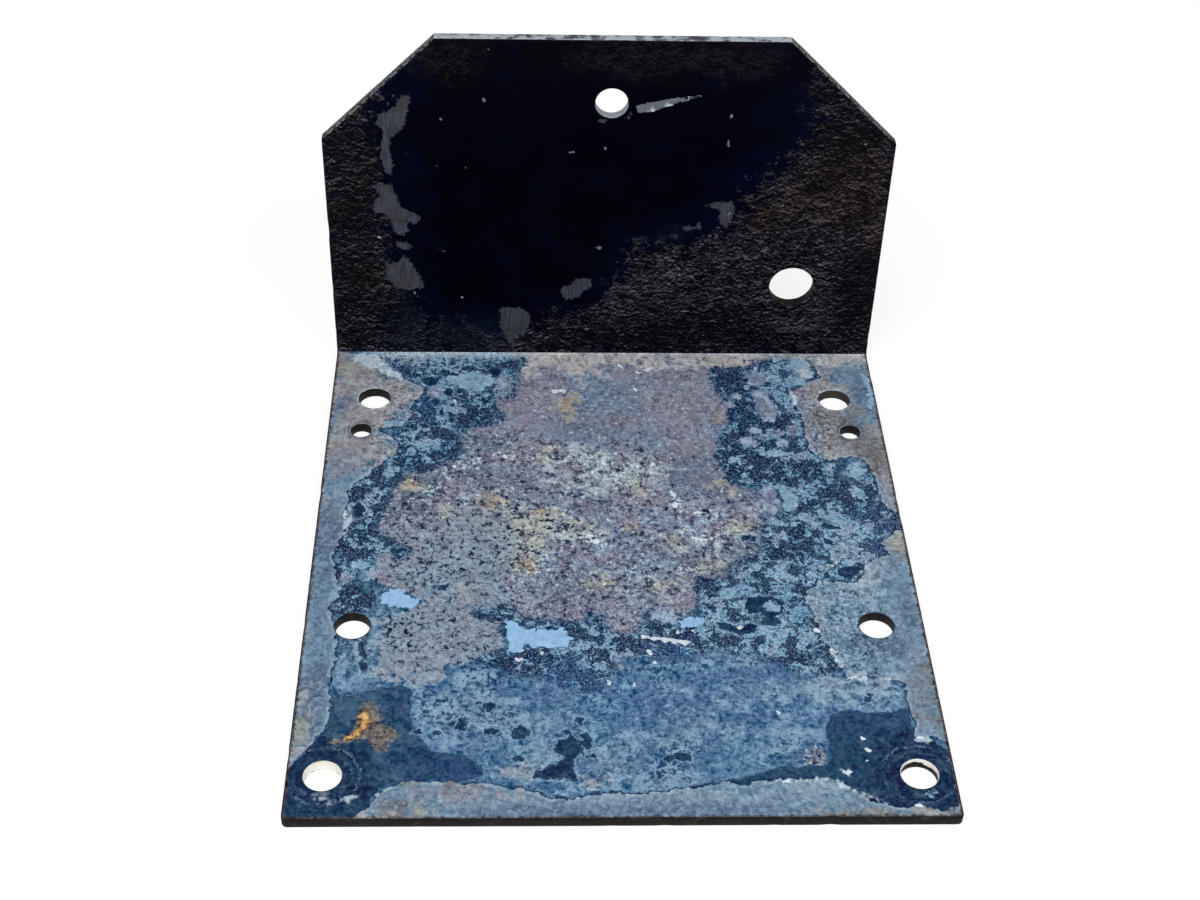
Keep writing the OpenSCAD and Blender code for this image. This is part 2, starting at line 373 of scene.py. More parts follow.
        (49, 4, 2, 5), (-46, -4, 2.4, 3), (40, 18, 5, 2), (45, 3, 5, 8), (43, 12.4, 3, 2.6),
        (24, -10.4, 3, 2), (33, -12.4, 2.6, 2), (33, 6, 1.6, 4), (29, -22, 7, 4), (36, 55, 2, 3),
        (37.2, 44.4, 1.6, 2.8), (31, -6, 4, 2), (20, -17, 4, 4), (20, -26, 4, 2), (42, -36, 9, 3.4),
        (37, -5, 3, 3), (-22, -26, 2, 1.4),
    ),
    "navy_solid": (
        ((-50.3, -43.5), (-52.5, -47), (-55, -51), (-57, -53), (-57, -64), (-45, -64), (-42, -61),
         (-41, -58.5), (-39.5, -56.5), (-36.5, -55.5), (-32, -55.6), (-27, -55.5), (-23.5, -54),
         (-24.5, -51), (-27, -49.8), (-31, -49), (-33.5, -47.5), (-35, -44), (-36, -41), (-35.6, -38),
         (-36.5, -35), (-38, -33.8), (-41, -34.5), (-44, -35.2), (-48, -36), (-50, -34), (-50, -40)),
        ((36.5, -41), (40, -40), (46, -40.5), (50.2, -39), (50.5, -44), (51.4, -46.4), (53.4, -46.2),
         (55, -48), (57, -50), (57, -58), (55.4, -62.6), (49, -62.6), (43, -62), (39, -60), (36, -57),
         (30, -56.4), (20, -57), (11, -57.8), (19, -55.2), (24, -54), (27, -52.6), (31, -53),
         (34.4, -52.4), (35, -51), (35.5, -47), (35, -44)),
    ),
    "slaty": ovals(
        (-45, -38, 6, 4), (-49, -42, 2, 5), (-37, -45, 3, 5), (-40, -53, 4, 3), (38, -51, 1.4, 3),
    ),
    "scratch": (
        ((4.3, -21.6), (7, -22.1), (10, -22.6), (13.7, -23.3), (13.9, -24.3), (13, -23.9), (12.2, -24.4),
         (11.4, -23.7), (10.4, -24), (9.6, -23.3), (8.6, -23.6), (7.8, -22.9), (6.6, -23.1), (5.8, -22.5),
         (4.6, -22.6)),
    ),
    "island": (
        ((-11.3, -46.5), (-9.5, -46.3), (-8, -45.8), (-7, -47), (-6.8, -49), (-7.5, -50.3), (-8.2, -51),
         (-8.2, -53.5), (-7.3, -56), (-9.5, -55), (-12, -54.8), (-15, -54.8), (-14.5, -53.5),
         (-12.5, -52.5), (-10.5, -51), (-9.8, -50.3), (-11.3, -49.3)),
        ((-7.3, -45.5), (-5.8, -45), (-5, -46.5), (-4.8, -48.3), (-5.7, -48.8), (-6.3, -47.5)),
        ((41.5, -5.5), (43, -4), (45, -3.8), (47, -2.5), (47, -5), (45.5, -6), (44.5, -7.6), (42.5, -6.5)),
        *ovals(
            (-5.3, -50.1, 1, 0.5), (-17.2, -44.9, 1.5, 1.7), (-17.5, -50.5, 1.1, 0.7),
            (-22, -44.5, 1.3, 0.8), (-22.5, -39, 1.4, 1), (-27.3, -43.2, 1, 1.8), (-29, -42.8, 0.8, 0.6),
            (10.3, -50.2, 1.3, 1.1, -20), (7.8, -50.7, 0.8, 0.7), (6.2, -54.2, 0.4, 1),
            (-6.9, -42.4, 0.7, 1), (-9.3, -44.7, 0.7, 0.5), (-31.5, -45, 0.7, 0.5),
            (43.5, -37.5, 0.7, 0.6), (39.8, -6.3, 0.5, 0.9), (48.5, -6.8, 0.4, 0.6),
        ),
        ((24.4, -12.4), (27, -11.6), (29.6, -12), (31.4, -13.4), (30.8, -16), (29.4, -17.2), (30.2, -18.8),
         (28, -19.6), (26.6, -18.6), (27.2, -16.8), (26, -16), (24.6, -16.4), (23.8, -14.4)),
        ((18, -18.8), (20, -18.4), (22.4, -19.8), (24.6, -18.6), (26, -19.6), (25, -21.4), (22, -21.6),
         (19.6, -20.6)),
        ((-38, 52.5), (-36.5, 53.4), (-35.2, 52.8), (-34.2, 53.4), (-34, 51.6), (-34.8, 50.4), (-36, 50.2),
         (-37.4, 50.8)),
        streak(-37, 56.6, -36.2, 60.6, 0.6), streak(-33.4, 57.4, -33.8, 60.8, 0.5),
        streak(-28.6, 57.4, -29.2, 60.4, 0.6), streak(-24.2, 57.6, -23.4, 60.8, 0.6),
        streak(-40.8, 57, -40, 60, 0.5), streak(-17.4, -57.2, -8.4, -59.5, 0.5),
        streak(-5.4, -58.4, -0.6, -57.8, 0.9), streak(-0.4, -58.2, 4.6, -58.3, 0.5),
        streak(-8.8, -59.5, -5.2, -58.5, 0.5),
        *ovals(
            (-33.6, -40, 0.6, 0.5), (-32.2, -43, 0.5, 0.6), (-34.6, -44.6, 0.5, 0.4),
            (-31.4, -38.4, 0.6, 0.4),
        ),
        ((-46.4, -25), (-45, -24.6), (-44.2, -26.4), (-44.6, -28), (-43.6, -30), (-45, -31), (-45.8, -29),
         (-45, -27.4)),
        *ovals(
            (-34.8, 45, 0.9, 1.3), (-32.4, 48, 1.1, 1.4), (-23, 54.6, 1.4, 2), (-31.5, 43.6, 0.6, 0.6),
            (-30.8, 45.6, 0.8, 0.6), (-33.6, 41.4, 0.5, 1), (-31.4, 39, 0.6, 1), (-35, 37.7, 0.8, 0.5),
            (-38, 33, 0.5, 0.8), (42.2, 7.4, 2, 0.7, -20), (41.3, 3, 0.6, 1.3, 40),
            (-31.5, -9.3, 1.4, 0.6, 20), (-40.5, 0.4, 1.8, 0.8), (-40, -1.6, 0.5, 0.9),
            (34.6, -24.6, 0.7, 0.6), (36, -26.2, 0.6, 0.5),
        ),
        ((40.5, 54.6), (42, 55.2), (44, 54.6), (45.4, 53.4), (45, 52.6), (43.6, 53.6), (42, 54),
         (40.6, 53.4)),
        *ovals(
            (50.8, 54.8, 1.2, 0.5, -50), (44, -36.3, 0.5, 0.4), (34.4, -27, 0.5, 0.8),
            (36.2, -18, 0.5, 0.9), (29.6, 5.6, 1, 0.6), (26, 4, 1.6, 0.8), (-48.5, 11.6, 1.4, 2),
            (-47, -20.8, 1, 0.5), (-45.4, -24, 0.6, 0.9),
        ),
    ),
    "border": (
        ((-57, 62), (-47.5, 60.5), (-45.2, 56), (-42, 52.5), (-38.5, 50), (-37.5, 49.5), (-38.5, 46.5),
         (-39.5, 43), (-40, 40), (-41.3, 37), (-46, 36.2), (-44.5, 34.5), (-42, 32.3), (-42.5, 28),
         (-44, 26.3), (-46.3, 24.2), (-47.2, 22), (-49.3, 19.8), (-51.2, 16.8), (-50.6, 14), (-51.2, 11),
         (-50.5, 5), (-51.8, 3), (-52.4, 0), (-52, -4), (-51.5, -7.5), (-50.3, -9.5), (-51, -12),
         (-52.2, -14.5), (-51.8, -17), (-50.5, -20), (-50, -25), (-50.2, -28), (-50.8, -34), (-50.2, -37),
         (-49.8, -41), (-50.3, -43.5), (-52, -46), (-53.8, -49), (-55, -51), (-57, -53.5)),
        ((39.6, 62), (41, 58.5), (44.6, 57), (45.6, 53.4), (41.5, 51), (39.5, 48.5), (38.8, 45),
         (39.2, 42), (40.5, 40), (40.3, 36), (40.5, 33), (41, 30), (42, 27.5), (44, 26.8), (46, 27.5),
         (49, 28), (51, 27.5), (52.2, 25), (52.5, 19), (53, 15), (54.5, 12), (57, 10.5), (57, 62)),
        ((51.7, 3), (53.5, 4.6), (55, 6.2), (57, 5.5), (57, -47), (55.4, -47.6), (53.6, -45.8), (51, -46),
         (51, -42), (50.3, -39), (50.5, -35), (50, -33), (44, -32.2), (40.5, -32.5), (39.8, -30),
         (39, -27), (38.2, -24.5), (36.8, -23), (37, -19), (35.6, -15), (35.5, -11), (37, -9.5),
         (38.5, -7.5), (41, -8), (44.5, -8.4), (46.6, -7), (47.4, -4.6), (48.6, -1.6), (51, -1.4),
         (52.4, -0.4)),
        ((-45, -64), (-42, -61), (-41, -58.5), (-39, -56.5), (-36, -55.6), (-32, -55.6), (-27, -55.8),
         (-22, -56), (-18, -56.8), (-15, -57.8), (-12, -59.2), (-9.5, -59.8), (-6, -58.6), (-3, -58),
         (0, -58.2), (5, -58.4), (9, -57.5), (13, -56.8), (17, -56), (20, -56.2), (24, -55.6), (29, -55.5),
         (32, -55), (35, -55.2), (37.5, -56.5), (39, -58), (41, -59.5), (44, -60.8), (47, -61.2),
         (49, -60.8), (50.5, -61.7), (53, -62.2), (55, -61.5), (57, -59.5), (57, -64)),
        ((43, 3), (45.5, 5), (47.2, 1), (46.8, -2), (43.6, -1.6), (41.6, -3.4), (38.5, -3), (38.3, -5),
         (40, -5.6), (42, -2.8), (41.2, 1)),
    ),
    "border_brown": (
        ((-57, 62), (-46, 57), (-40, 51), (-38, 48), (-41, 41), (-42, 37), (-47, 35), (-43, 32), (-43, 28),
         (-48, 25), (-54, 26), (-57, 30)),
        ((40, 51), (45, 55), (51, 50), (52, 40), (57, 40), (57, 12), (53, 16), (52, 26), (44, 27.5),
         (41, 32), (40, 42)),
        *ovals(
            (-54.6, -43, 1.8, 5), (47, -62, 7, 1.4), (55.6, 1, 1.2, 3), (36, -62.6, 4, 0.9),
            (-21, -57.4, 1.8, 1), (-29, -56.6, 3, 0.8), (-16, -57, 3, 1),
        ),
    ),
    "border_lilac": ovals(
        (-52, 25, 3, 5), (-54.5, 12, 1.4, 10), (-53.6, -34, 1.2, 8), (47, 55, 4, 2.4), (41.5, 35, 2, 5),
        (-42.5, 34.5, 2, 1.6), (-31, -58, 5, 2), (36.6, -20.6, 1.4, 1.6), (41, 43, 1.6, 5),
        (52.6, -37, 1.6, 6), (-24, -57, 4, 1),
    ),
    "border_blue": ovals(
        (-53.8, 42.5, 1.4, 4), (-55, -5, 1.2, 12), (54.8, 48, 1, 8), (-53.5, -14, 1.2, 8),
        (52.8, 50, 1.4, 6), (-52.5, -26, 1, 8), (-52.8, -36, 3.4, 10), (12, -62, 18, 1.2),
        (-14, -62, 14, 1.2), (-54, -3, 1.8, 16), (47, -24, 6, 4), (53.6, -14, 1.6, 7),
    ),
    "whitened": (
        ((-53.4, 60.8), (-48, 60.8), (-45, 56.6), (-41, 51.8), (-43.6, 52.8), (-47.6, 55.2), (-50.6, 57.2),
         (-52.8, 59)),
        # A painted highlight along the bend of the fold
        streak(-46, 60.8, -38, 60.6, 1),
        *ovals((41, 58, 2, 2.2), (42, 56, 1.6, 3, 20), (40.8, 52, 1.2, 1.4)),
        streak(29, -55.6, 35.4, -55.2, 0.5), streak(35, -55.2, 39.4, -58.4, 0.6),
        streak(38.6, -58, 44, -60.8, 0.5),
        *ovals(
            (52, -46.8, 1.6, 0.4), (39.2, -27, 0.4, 3, 12), (39, 45, 0.4, 4, 4), (-50.5, 8, 0.4, 5),
            (45, -32.6, 5, 0.4),
        ),
        streak(-48.6, -60.3, -43.4, -58.2, 0.8),
        *ovals((-50, -58.5, 1.2, 1)),
    ),
    "lilac": (
        *ovals(
            (32.5, 53.3, 2.2, 1.7), (31.6, 51.4, 1.4, 0.9), (33, 43.3, 1.9, 4.6, 8), (32.2, 48, 1.7, 1.4),
            (27, 47, 1, 0.8), (30, 36, 1.2, 1.2), (28.5, 32.4, 1.7, 1.4), (35.4, 32, 1.3, 1.2),
            (37.6, 36, 1.2, 1.4), (34.5, 35, 1.3, 1), (25.7, 44.5, 0.8, 1.4), (-24.6, 52.6, 1.8, 1.4, -25),
        ),
        ((30.3, 19.5), (32.3, 18.5), (33.5, 15.5), (33.2, 12.5), (32, 10.8), (30.2, 10.3), (29.8, 14),
         (30, 17)),
        ((6, -15.5), (8, -15.2), (10.5, -16), (11.5, -18), (11.2, -19.3), (9.5, -19), (7.5, -18),
         (6.3, -17)),
        *ovals((-49.6, -6.6, 0.8, 1.3), (-35, 48, 1.4, 1.8), (-21, 51, 1.4, 3)),
    ),
    "bare": (
        ((-43, -11), (-41, -10), (-39.5, -9.5), (-38.5, -11), (-37, -12), (-35.5, -13), (-36.5, -14.3),
         (-39, -14.8), (-41, -14.5), (-43, -13.5), (-42.5, -12.3)),
        ((-20, -18.5), (-18.5, -17.9), (-17.5, -19.5), (-16, -20.3), (-13, -20.2), (-9.5, -19.9),
         (-9, -21.3), (-8, -22.5), (-8.8, -24.5), (-11, -24.7), (-14.5, -24.7), (-16.5, -24.3),
         (-17, -25.8), (-19.5, -26.2), (-19.2, -23.5), (-20.2, -21.5)),
        ((11.5, -18), (13, -17.4), (15.5, -17), (16.2, -18.3), (15, -19.8), (12, -19.6)),
    ),
    "bare_dull": (
        ((-33.5, 53.3), (-31, 53.2), (-29.5, 54.8), (-26.5, 55), (-24.5, 53.8), (-22.5, 52.5),
         (-23.5, 50.8), (-25, 49.5), (-26, 48.3), (-28, 48.5), (-30, 50.5), (-32, 50.5), (-33, 51.5)),
        ((31.5, 20), (34, 19.3), (36.5, 17), (37, 14.5), (35.8, 12), (34, 11), (33.3, 13), (33.8, 16),
         (32.5, 18.5)),
        ((54.2, 55), (55.4, 54), (55.8, 48), (55.5, 43), (54.2, 41.6), (54.2, 45), (54.8, 50)),
        ((47, 25), (49.5, 26), (51.2, 24), (51.2, 22), (49, 20.8), (47.5, 22)),
        *ovals(
            (-47, -3.3, 1.8, 1.2, 10), (-43, 38, 2, 0.9), (33, 28.9, 2.8, 0.9), (25, 27, 1.1, 0.8),
            (36, 53, 0.9, 1.4), (41, 58, 1.6, 1.8), (40.8, 51.6, 1.8, 1.1, 20), (48.8, 17, 1.1, 2, 30),
            (37, 59.5, 1, 1),
        ),
        ((50.7, -59.5), (51.2, -57.6), (52.5, -57.3), (52.3, -58.6), (51.4, -59.8)),
        *ovals(
            (37.6, -53.8, 0.9, 0.6), (35, 53.6, 0.6, 0.8), (28, 24.4, 0.5, 0.5), (26, 36.6, 0.6, 0.6),
            (38, 46, 0.5, 1), (29.6, 50, 0.5, 0.6), (33.6, -7.4, 0.9, 0.6), (38.6, 39, 0.6, 0.5),
            (29, -14.6, 1.7, 1.4), (21, -11, 1.6, 1.4), (44, 8.6, 1.4, 0.8),
        ),
    ),
    "fleck": (
        *ovals(
            (-4.2, 4.4, 0.9, 0.6, 20), (-2.9, 3, 0.8, 0.9), (-2.2, 4.9, 0.4, 0.5), (-4.6, 3, 0.5, 0.4),
            (-1.7, -33.3, 0.45, 0.7), (2.8, -33.8, 0.3, 0.6), (11.2, -21, 0.3, 0.45),
            (14, -20.6, 0.25, 0.3), (5.8, -26, 0.45, 0.6), (-13.3, -26.3, 0.3, 0.6),
            (-17.4, -27.7, 1, 0.4), (38.5, 38.8, 0.25, 0.35), (6.6, -28.6, 0.3, 0.4),
            (22.5, -19.8, 0.6, 0.5), (36.6, -20.6, 0.8, 0.5, -30), (27.5, -40.3, 0.3, 0.4),
            (37.8, -53.8, 0.9, 0.5), (42, -49, 0.5, 0.4), (41.5, -46.3, 0.45, 0.3),
            (41.6, -51.3, 0.4, 0.25), (-10.3, 48.5, 0.7, 0.6), (-8.6, 48.5, 0.7, 0.7),
            (-20.4, 27.7, 0.5, 0.6), (8.8, 25.6, 0.6, 0.6), (9.3, 56, 1.1, 0.5, 30), (-31, 45, 0.4, 0.6),
            (7.4, 54.8, 0.8, 0.4), (3.4, 57.2, 0.4, 1.1, 30), (12.3, 16.6, 0.5, 1.1, 20),
            (12.6, 13.6, 0.5, 1), (27.3, -55.8, 0.6, 0.3), (-51, 10.5, 0.25, 1.4), (-25.6, 27.2, 0.6, 0.4),
            (-30.5, 24.6, 0.4, 0.4), (48.8, -61, 0.6, 0.3), (51.4, -46.2, 0.8, 0.3),
            (6.4, 49, 0.3, 0.9, 20), (17.4, 11.2, 1.4, 0.35),
        ),
        # The streak here is a painted highlight along the bend of the fold
        arc(17.5, 7.6, 4, 0.5, 215, 320), streak(-46.5, 61, -39.2, 60.6, 0.8),
    ),
    "rust_brown": (
        ((-43.6, -37.6), (-42.4, -38.4), (-41.6, -41), (-40.4, -43.4), (-38.4, -44.4), (-38.2, -45.6),
         (-39.6, -47), (-39.8, -48.6), (-41.2, -49), (-42.4, -47.4), (-43.4, -46.2), (-45, -46.6),
         (-47.6, -46.8), (-46.8, -45.6), (-45, -44.4), (-45.4, -42), (-45, -39.6)),
        *ovals((-48.4, -46.8, 1.4, 0.4)),
    ),
    "rust": (
        ((-44.6, -39.4), (-43.9, -39.7), (-43.3, -41), (-43, -42.4), (-43.6, -43.8), (-44.6, -45),
         (-45.6, -46), (-47.2, -46.4), (-46.8, -45.8), (-45.6, -45), (-44.6, -43.8), (-44.4, -42.6),
         (-44.9, -41)),
    ),
    "border_dusk": ovals(
        (48.5, 39, 6, 4.5), (52.5, 30, 3, 6), (-55.4, 56, 1, 4), (-37.6, -60.6, 2.6, 2),
        (54.4, 0.6, 1.6, 1.6), (54.8, -38, 0.8, 8), (-36, -56, 5, 0.5), (44, -63.6, 12, 3),
        (56, -62, 3, 3), (56, -52, 0.8, 5),
    ),
    "pale_tan": ovals(
        (-8, 58.8, 9, 2.8), (-16, 57.4, 2.4, 2.6), (5.5, 58.6, 3.6, 2.6), (9.5, 57.2, 2.4, 1.8),
        (22, 58.8, 6, 2), (31, 58.8, 4, 1.6), (45, 59.4, 6, 2.2), (52, 59.8, 4, 2),
    ),
    "smooth": (
        ((-26, 64), (-26, 38), (-20, 33), (-10, 32), (4, 33), (10, 29), (12, 18), (22, 17), (27, 30),
         (28, 64)),
    ),
    "royal": ovals(
        (6, -38, 12, 5), (27, -41, 9, 4), (-9, -31, 6, 5), (14, -33, 6, 3), (-30, -46, 5, 5),
        (40, -42, 5, 3),
    ),
}

# Marks on the front of the upright, in millimetres: across it, and up from the floor
UPRIGHT_MARKS = {
    "rough": (
        ((57, 2), (57, 55), (52, 60), (44, 69), (40, 72), (38.5, 66), (40, 60), (39, 56), (36, 50),
         (32, 46.5), (30, 44), (28, 39), (25, 34.5), (20, 30.5), (12, 29.5), (6, 29), (4.5, 25), (2, 20),
         (-1, 15), (-6, 12), (-12, 11), (-16, 7), (-22, 6.5), (-30, 9), (-37, 10), (-40, 14), (-42, 20),
         (-44.5, 28), (-45.5, 40), (-46, 50), (-48, 56), (-47, 62), (-44, 68), (-48, 67), (-57, 56),
         (-57, 2)),
    ),
    "red": ovals(
        (48, 44, 9, 11), (40, 41, 5, 5), (55, 35, 3, 8), (-53, 39, 2.4, 2.4), (33, 37, 5, 4),
        (48, 54, 6, 4), (-47, 44, 2, 5), (-50, 22, 3, 4),
    ),
    "teal": ovals((-28, 7, 9, 4), (-46, 70, 3, 3), (13, 32, 3, 1.6), (-41, 8, 3, 6)),
    "chip": (
        ((-41.6, 61.6), (-40.6, 63.8), (-38.6, 64), (-39.4, 60), (-40.4, 56.5), (-42, 55.4), (-43, 54),
         (-43, 51), (-42.6, 48), (-43.2, 46), (-44.2, 47), (-45, 50), (-44.6, 53), (-44.2, 56),
         (-45.6, 58), (-45, 59.6), (-43.4, 60.2)),
        ((-47, 43.6), (-43.4, 43.8), (-42.2, 41), (-41.6, 38.6), (-40, 37.6), (-38.4, 36.8), (-37.6, 36),
         (-38.6, 34.4), (-40.4, 35.2), (-40.2, 32.6), (-41.4, 31.4), (-43, 32.6), (-43.4, 35.4), (-45, 37),
         (-47, 37), (-46.6, 40), (-45, 41.4)),
        *ovals((-41.2, 29.2, 1.6, 0.9, -15)),
        ((-45, 24.6), (-42.6, 25.2), (-41, 26.6), (-40, 25.6), (-39.4, 23.6), (-38, 21.6), (-37.4, 19),
         (-40, 18.2), (-43, 18.4), (-44, 20), (-45, 21)),
        ((-21.8, 13.6), (-18, 14), (-16.4, 13), (-15.4, 11.6), (-15.8, 9), (-16.4, 7), (-18.6, 6.2),
         (-19.8, 4), (-20.6, 6), (-21.8, 8.6)),
        ((-9.2, 19), (-7, 19.8), (-6, 21.4), (-3.4, 21.4), (-2.8, 19.4), (-4.4, 18.4), (-5.6, 16.6),
         (-8.2, 15.8), (-9.2, 17.4)),
        ((19.4, 39.4), (21, 40.2), (24.8, 40.4), (25.4, 39), (25, 36), (24, 34.4), (22.6, 34.6),
         (22.4, 38.4)),
        *ovals(
            (16.2, 34, 0.8, 0.7), (18.4, 34.4, 0.5, 0.8), (-1.6, 58.8, 0.8, 0.4, 20),
            (3.4, 59.8, 0.3, 0.8, -35),
        ),
    ),
    "fleck": (
        *ovals(
            (-24.6, 63, 0.3, 0.7, 30), (-33, 58.8, 0.4, 0.3), (-23.6, 73.9, 0.3, 0.3),
            (23.3, 60, 0.25, 0.6, -15), (23.1, 53.8, 0.35, 0.8), (-7.6, 51.6, 0.6, 0.25),
            (-1, 52.6, 0.35, 0.3), (-43, 61.8, 0.25, 0.5),
        ),
        streak(-34.8, 28.6, -32.4, 27.6, 0.3),
        *ovals(
            (-1.6, 29, 0.8, 0.35), (-29.5, 16.4, 0.25, 0.35), (-39.4, 17.4, 0.3, 0.6),
            (-38.7, 16.7, 0.25, 0.4), (-3.6, 8.4, 0.4, 0.3), (-39.8, 50.9, 0.35, 0.25),
            (24.4, 37.4, 0.5, 0.3, 40), (16.6, 13.2, 0.8, 0.25), (15, 22.6, 0.4, 0.25, 40),
            (-28.3, 47.8, 0.3, 0.3), (-34, 48.2, 0.3, 0.25), (35, 39.4, 0.4, 0.3), (50, 54, 0.4, 0.25),
            (50.6, 48.8, 0.5, 0.2), (-46, 31.2, 0.9, 0.2, -15),
        ),
        ((4.4, 62), (7.6, 63), (12, 63.9), (17.2, 64.5), (17, 64), (12.8, 62.9), (11, 62), (8, 60.8),
         (5.2, 60.5)),
        streak(-54.5, 3, -49, 3.4, 0.35), streak(-48, 3, -45.4, 2.4, 0.3),
    ),
    "scuffed": ovals((6, 72.4, 14, 3), (24, 72, 8, 2.6), (-31, 71.6, 6, 3)),
    "sooty": ovals((-53, 30, 5, 26), (-38, 12, 10, 8), (52, 18, 6, 12), (44, 60, 8, 9), (14, 7, 22, 5)),
}
FIELD_NAMES = sorted(set(BASE_MARKS) | set(UPRIGHT_MARKS))
# Small marks with sharp outlines, which the mesh follows
SHARP_ON_BASE = ("island", "lilac", "bare", "bare_dull", "fleck", "scratch", "rust", "rust_brown")
SHARP_ON_UPRIGHT = ("chip", "fleck")
# Mounts whose holes have rings pressed round them
RINGED_MOUNTS = ("screws", "rear_bolts", "front_bolts")
# Heights above the underside, in millimetres, from which the walls of the two front holes are rubbed bare
BARE_WALLS = (0.0, 1.35)
# The same for the dust on the wall of the right-hand rear hole
DUSTY_WALLS = (0.3,)
# Depth, in millimetres, past which a place counts as well inside or outside a mark
FIELD_REACH = 12.0
# How far marks stand over the seen face, negative under it, and the width of their slopes, in millimetres
RAISED_MARKS = {
    "navy_solid": (0.04, 1.0), "island": (0.04, 0.4), "bare": (-0.03, 0.5), "rust": (0.12, 0.8),
    "rust_brown": (0.05, 1.5), "chip": (-0.06, 0.6), "rough": (0.05, 3.0),
}
# The groove that a screw head has pressed: how far its middle is from the hole, its half width and its depth
GROOVE_OUT = 1.0
GROOVE_HALF = 0.6
GROOVE_DEPTH = 0.05
# Wear of the cut edges: dents and ripples to the millimetre, the noise that starts a dent, and their depths
DENTS_TO_MM = 0.22
RIPPLES_TO_MM = 0.9
DENT_FROM = 0.25
DENT_DEPTH = 2.2
RIPPLE_DEPTH = 0.25
# The mesh: points round a hole, least rows through the fold, and room beside the fold in millimetres
HOLE_POINTS = 56
FOLD_ROWS = 8
FOLD_ROOM = 1.0
# Shares of a facet: spacing along cut edges in the fold and along sharp marks, the grid that thins out the
# places of marks, and the room that the even mesh leaves round those and along cut edges
FOLD_SPACING = 0.45
MARK_SPACING = 0.7
MARK_GRID = 0.25
MARK_ROOM = 0.42
EDGE_ROOM = 0.45
# Distance under which two places count as one, in millimetres
TOLERANCE = 1e-6
# The least number that anything is divided by
TINY = 1e-9
# Wrinkles and bows to the metre, the stretch of wrinkles, and their rise per millimetre into rough paint
WRINKLES_TO_M = 520.0
BOWS_TO_M = 16.0
WRINKLE_STRETCH = (0.55, 1.0, 1.0)
WRINKLE_RISE = 0.3
# Roughness of the noise in all finishes, and the darkest colour that the grain leaves
NOISE_ROUGHNESS = 0.6
DARKEST = (0.002, 0.002, 0.002)
# Where the painted sky reflection gives way to darker blue paint along the base, and the fold's band, in
# millimetres
PAINTED_SKY_REFLECTION_END = (-31.0, -25.0)
# The band at the fold is a painted highlight along the bend, with tan dust further across
FOLD_HIGHLIGHT_AND_DUST = (59.0, 60.6)
# Where across the base that band begins, and where it turns from the white painted highlight to tan dust
FOLD_BAND_START = (-52.0, -44.0)
TAN_DUST = (-22.0, -12.0)
# How far down from the top the cut edge gets a painted highlight, in millimetres
TOP_HIGHLIGHT = 0.16
# Heights, and distances from the middle, over which the slanting edges get a painted highlight
SLANT_HEIGHTS = (54.0, 55.5)
SLANT_SIDES = (32.5, 34.5)
# The same for the wall of the top hole: its lower end, its upper end and its sides
TOP_HOLE_LOW = (57.0, 58.0)
TOP_HOLE_HIGH = (63.0, 61.5)
TOP_HOLE_SIDES = (5.0, 4.0)


def depth_inside(points, outline):
    """How far inside an outline each point lies, negative outside, held to FIELD_REACH."""
    corners = np.array(outline, float)
    depth = np.full(len(points), -FIELD_REACH)
    near = np.all((points > corners.min(0) - FIELD_REACH) & (points < corners.max(0) + FIELD_REACH), axis=1)
    here = points[near]
    gap = np.full(len(here), np.inf)
    inside = np.zeros(len(here), bool)
    for start, end in zip(corners, np.roll(corners, -1, axis=0)):
        run = end - start
        away = here - start
        share = np.clip(away @ run / max(run @ run, TINY), 0, 1)
        gap = np.minimum(gap, np.hypot(*(away - share[:, None] * run).T))
        crosses = (start[1] > here[:, 1]) != (end[1] > here[:, 1])
        rise = run[1] if abs(run[1]) > TINY else TINY
        inside ^= crosses & (here[:, 0] < start[0] + run[0] * (here[:, 1] - start[1]) / rise)
    depth[near] = np.clip(np.where(inside, gap, -gap), -FIELD_REACH, FIELD_REACH)
    return depth


def mark_field(points, outlines):
    """How far inside any of several outlines each point lies."""
    field = np.full(len(points), -FIELD_REACH)
    for outline in outlines:
        field = np.maximum(field, depth_inside(points, outline))
    return field


def mark_places(outline, spacing):
    """Places round an outline and halfway to its middle, no further apart than spacing, and its middle."""
    middle_x, middle_y = (sum(values) / len(outline) for values in zip(*outline))
    places = [(middle_x, middle_y)]
    for share in (1.0, 0.5):
        loop = [(middle_x + (x - middle_x) * share, middle_y + (y - middle_y) * share) for x, y in outline]
        for (x0, y0), (x1, y1) in zip(loop, loop[1:] + loop[:1]):
            steps = max(1, math.ceil(math.hypot(x1 - x0, y1 - y0) / spacing))
            places += [(x0 + (x1 - x0) * k / steps, y0 + (y1 - y0) * k / steps) for k in range(steps)]
    return places


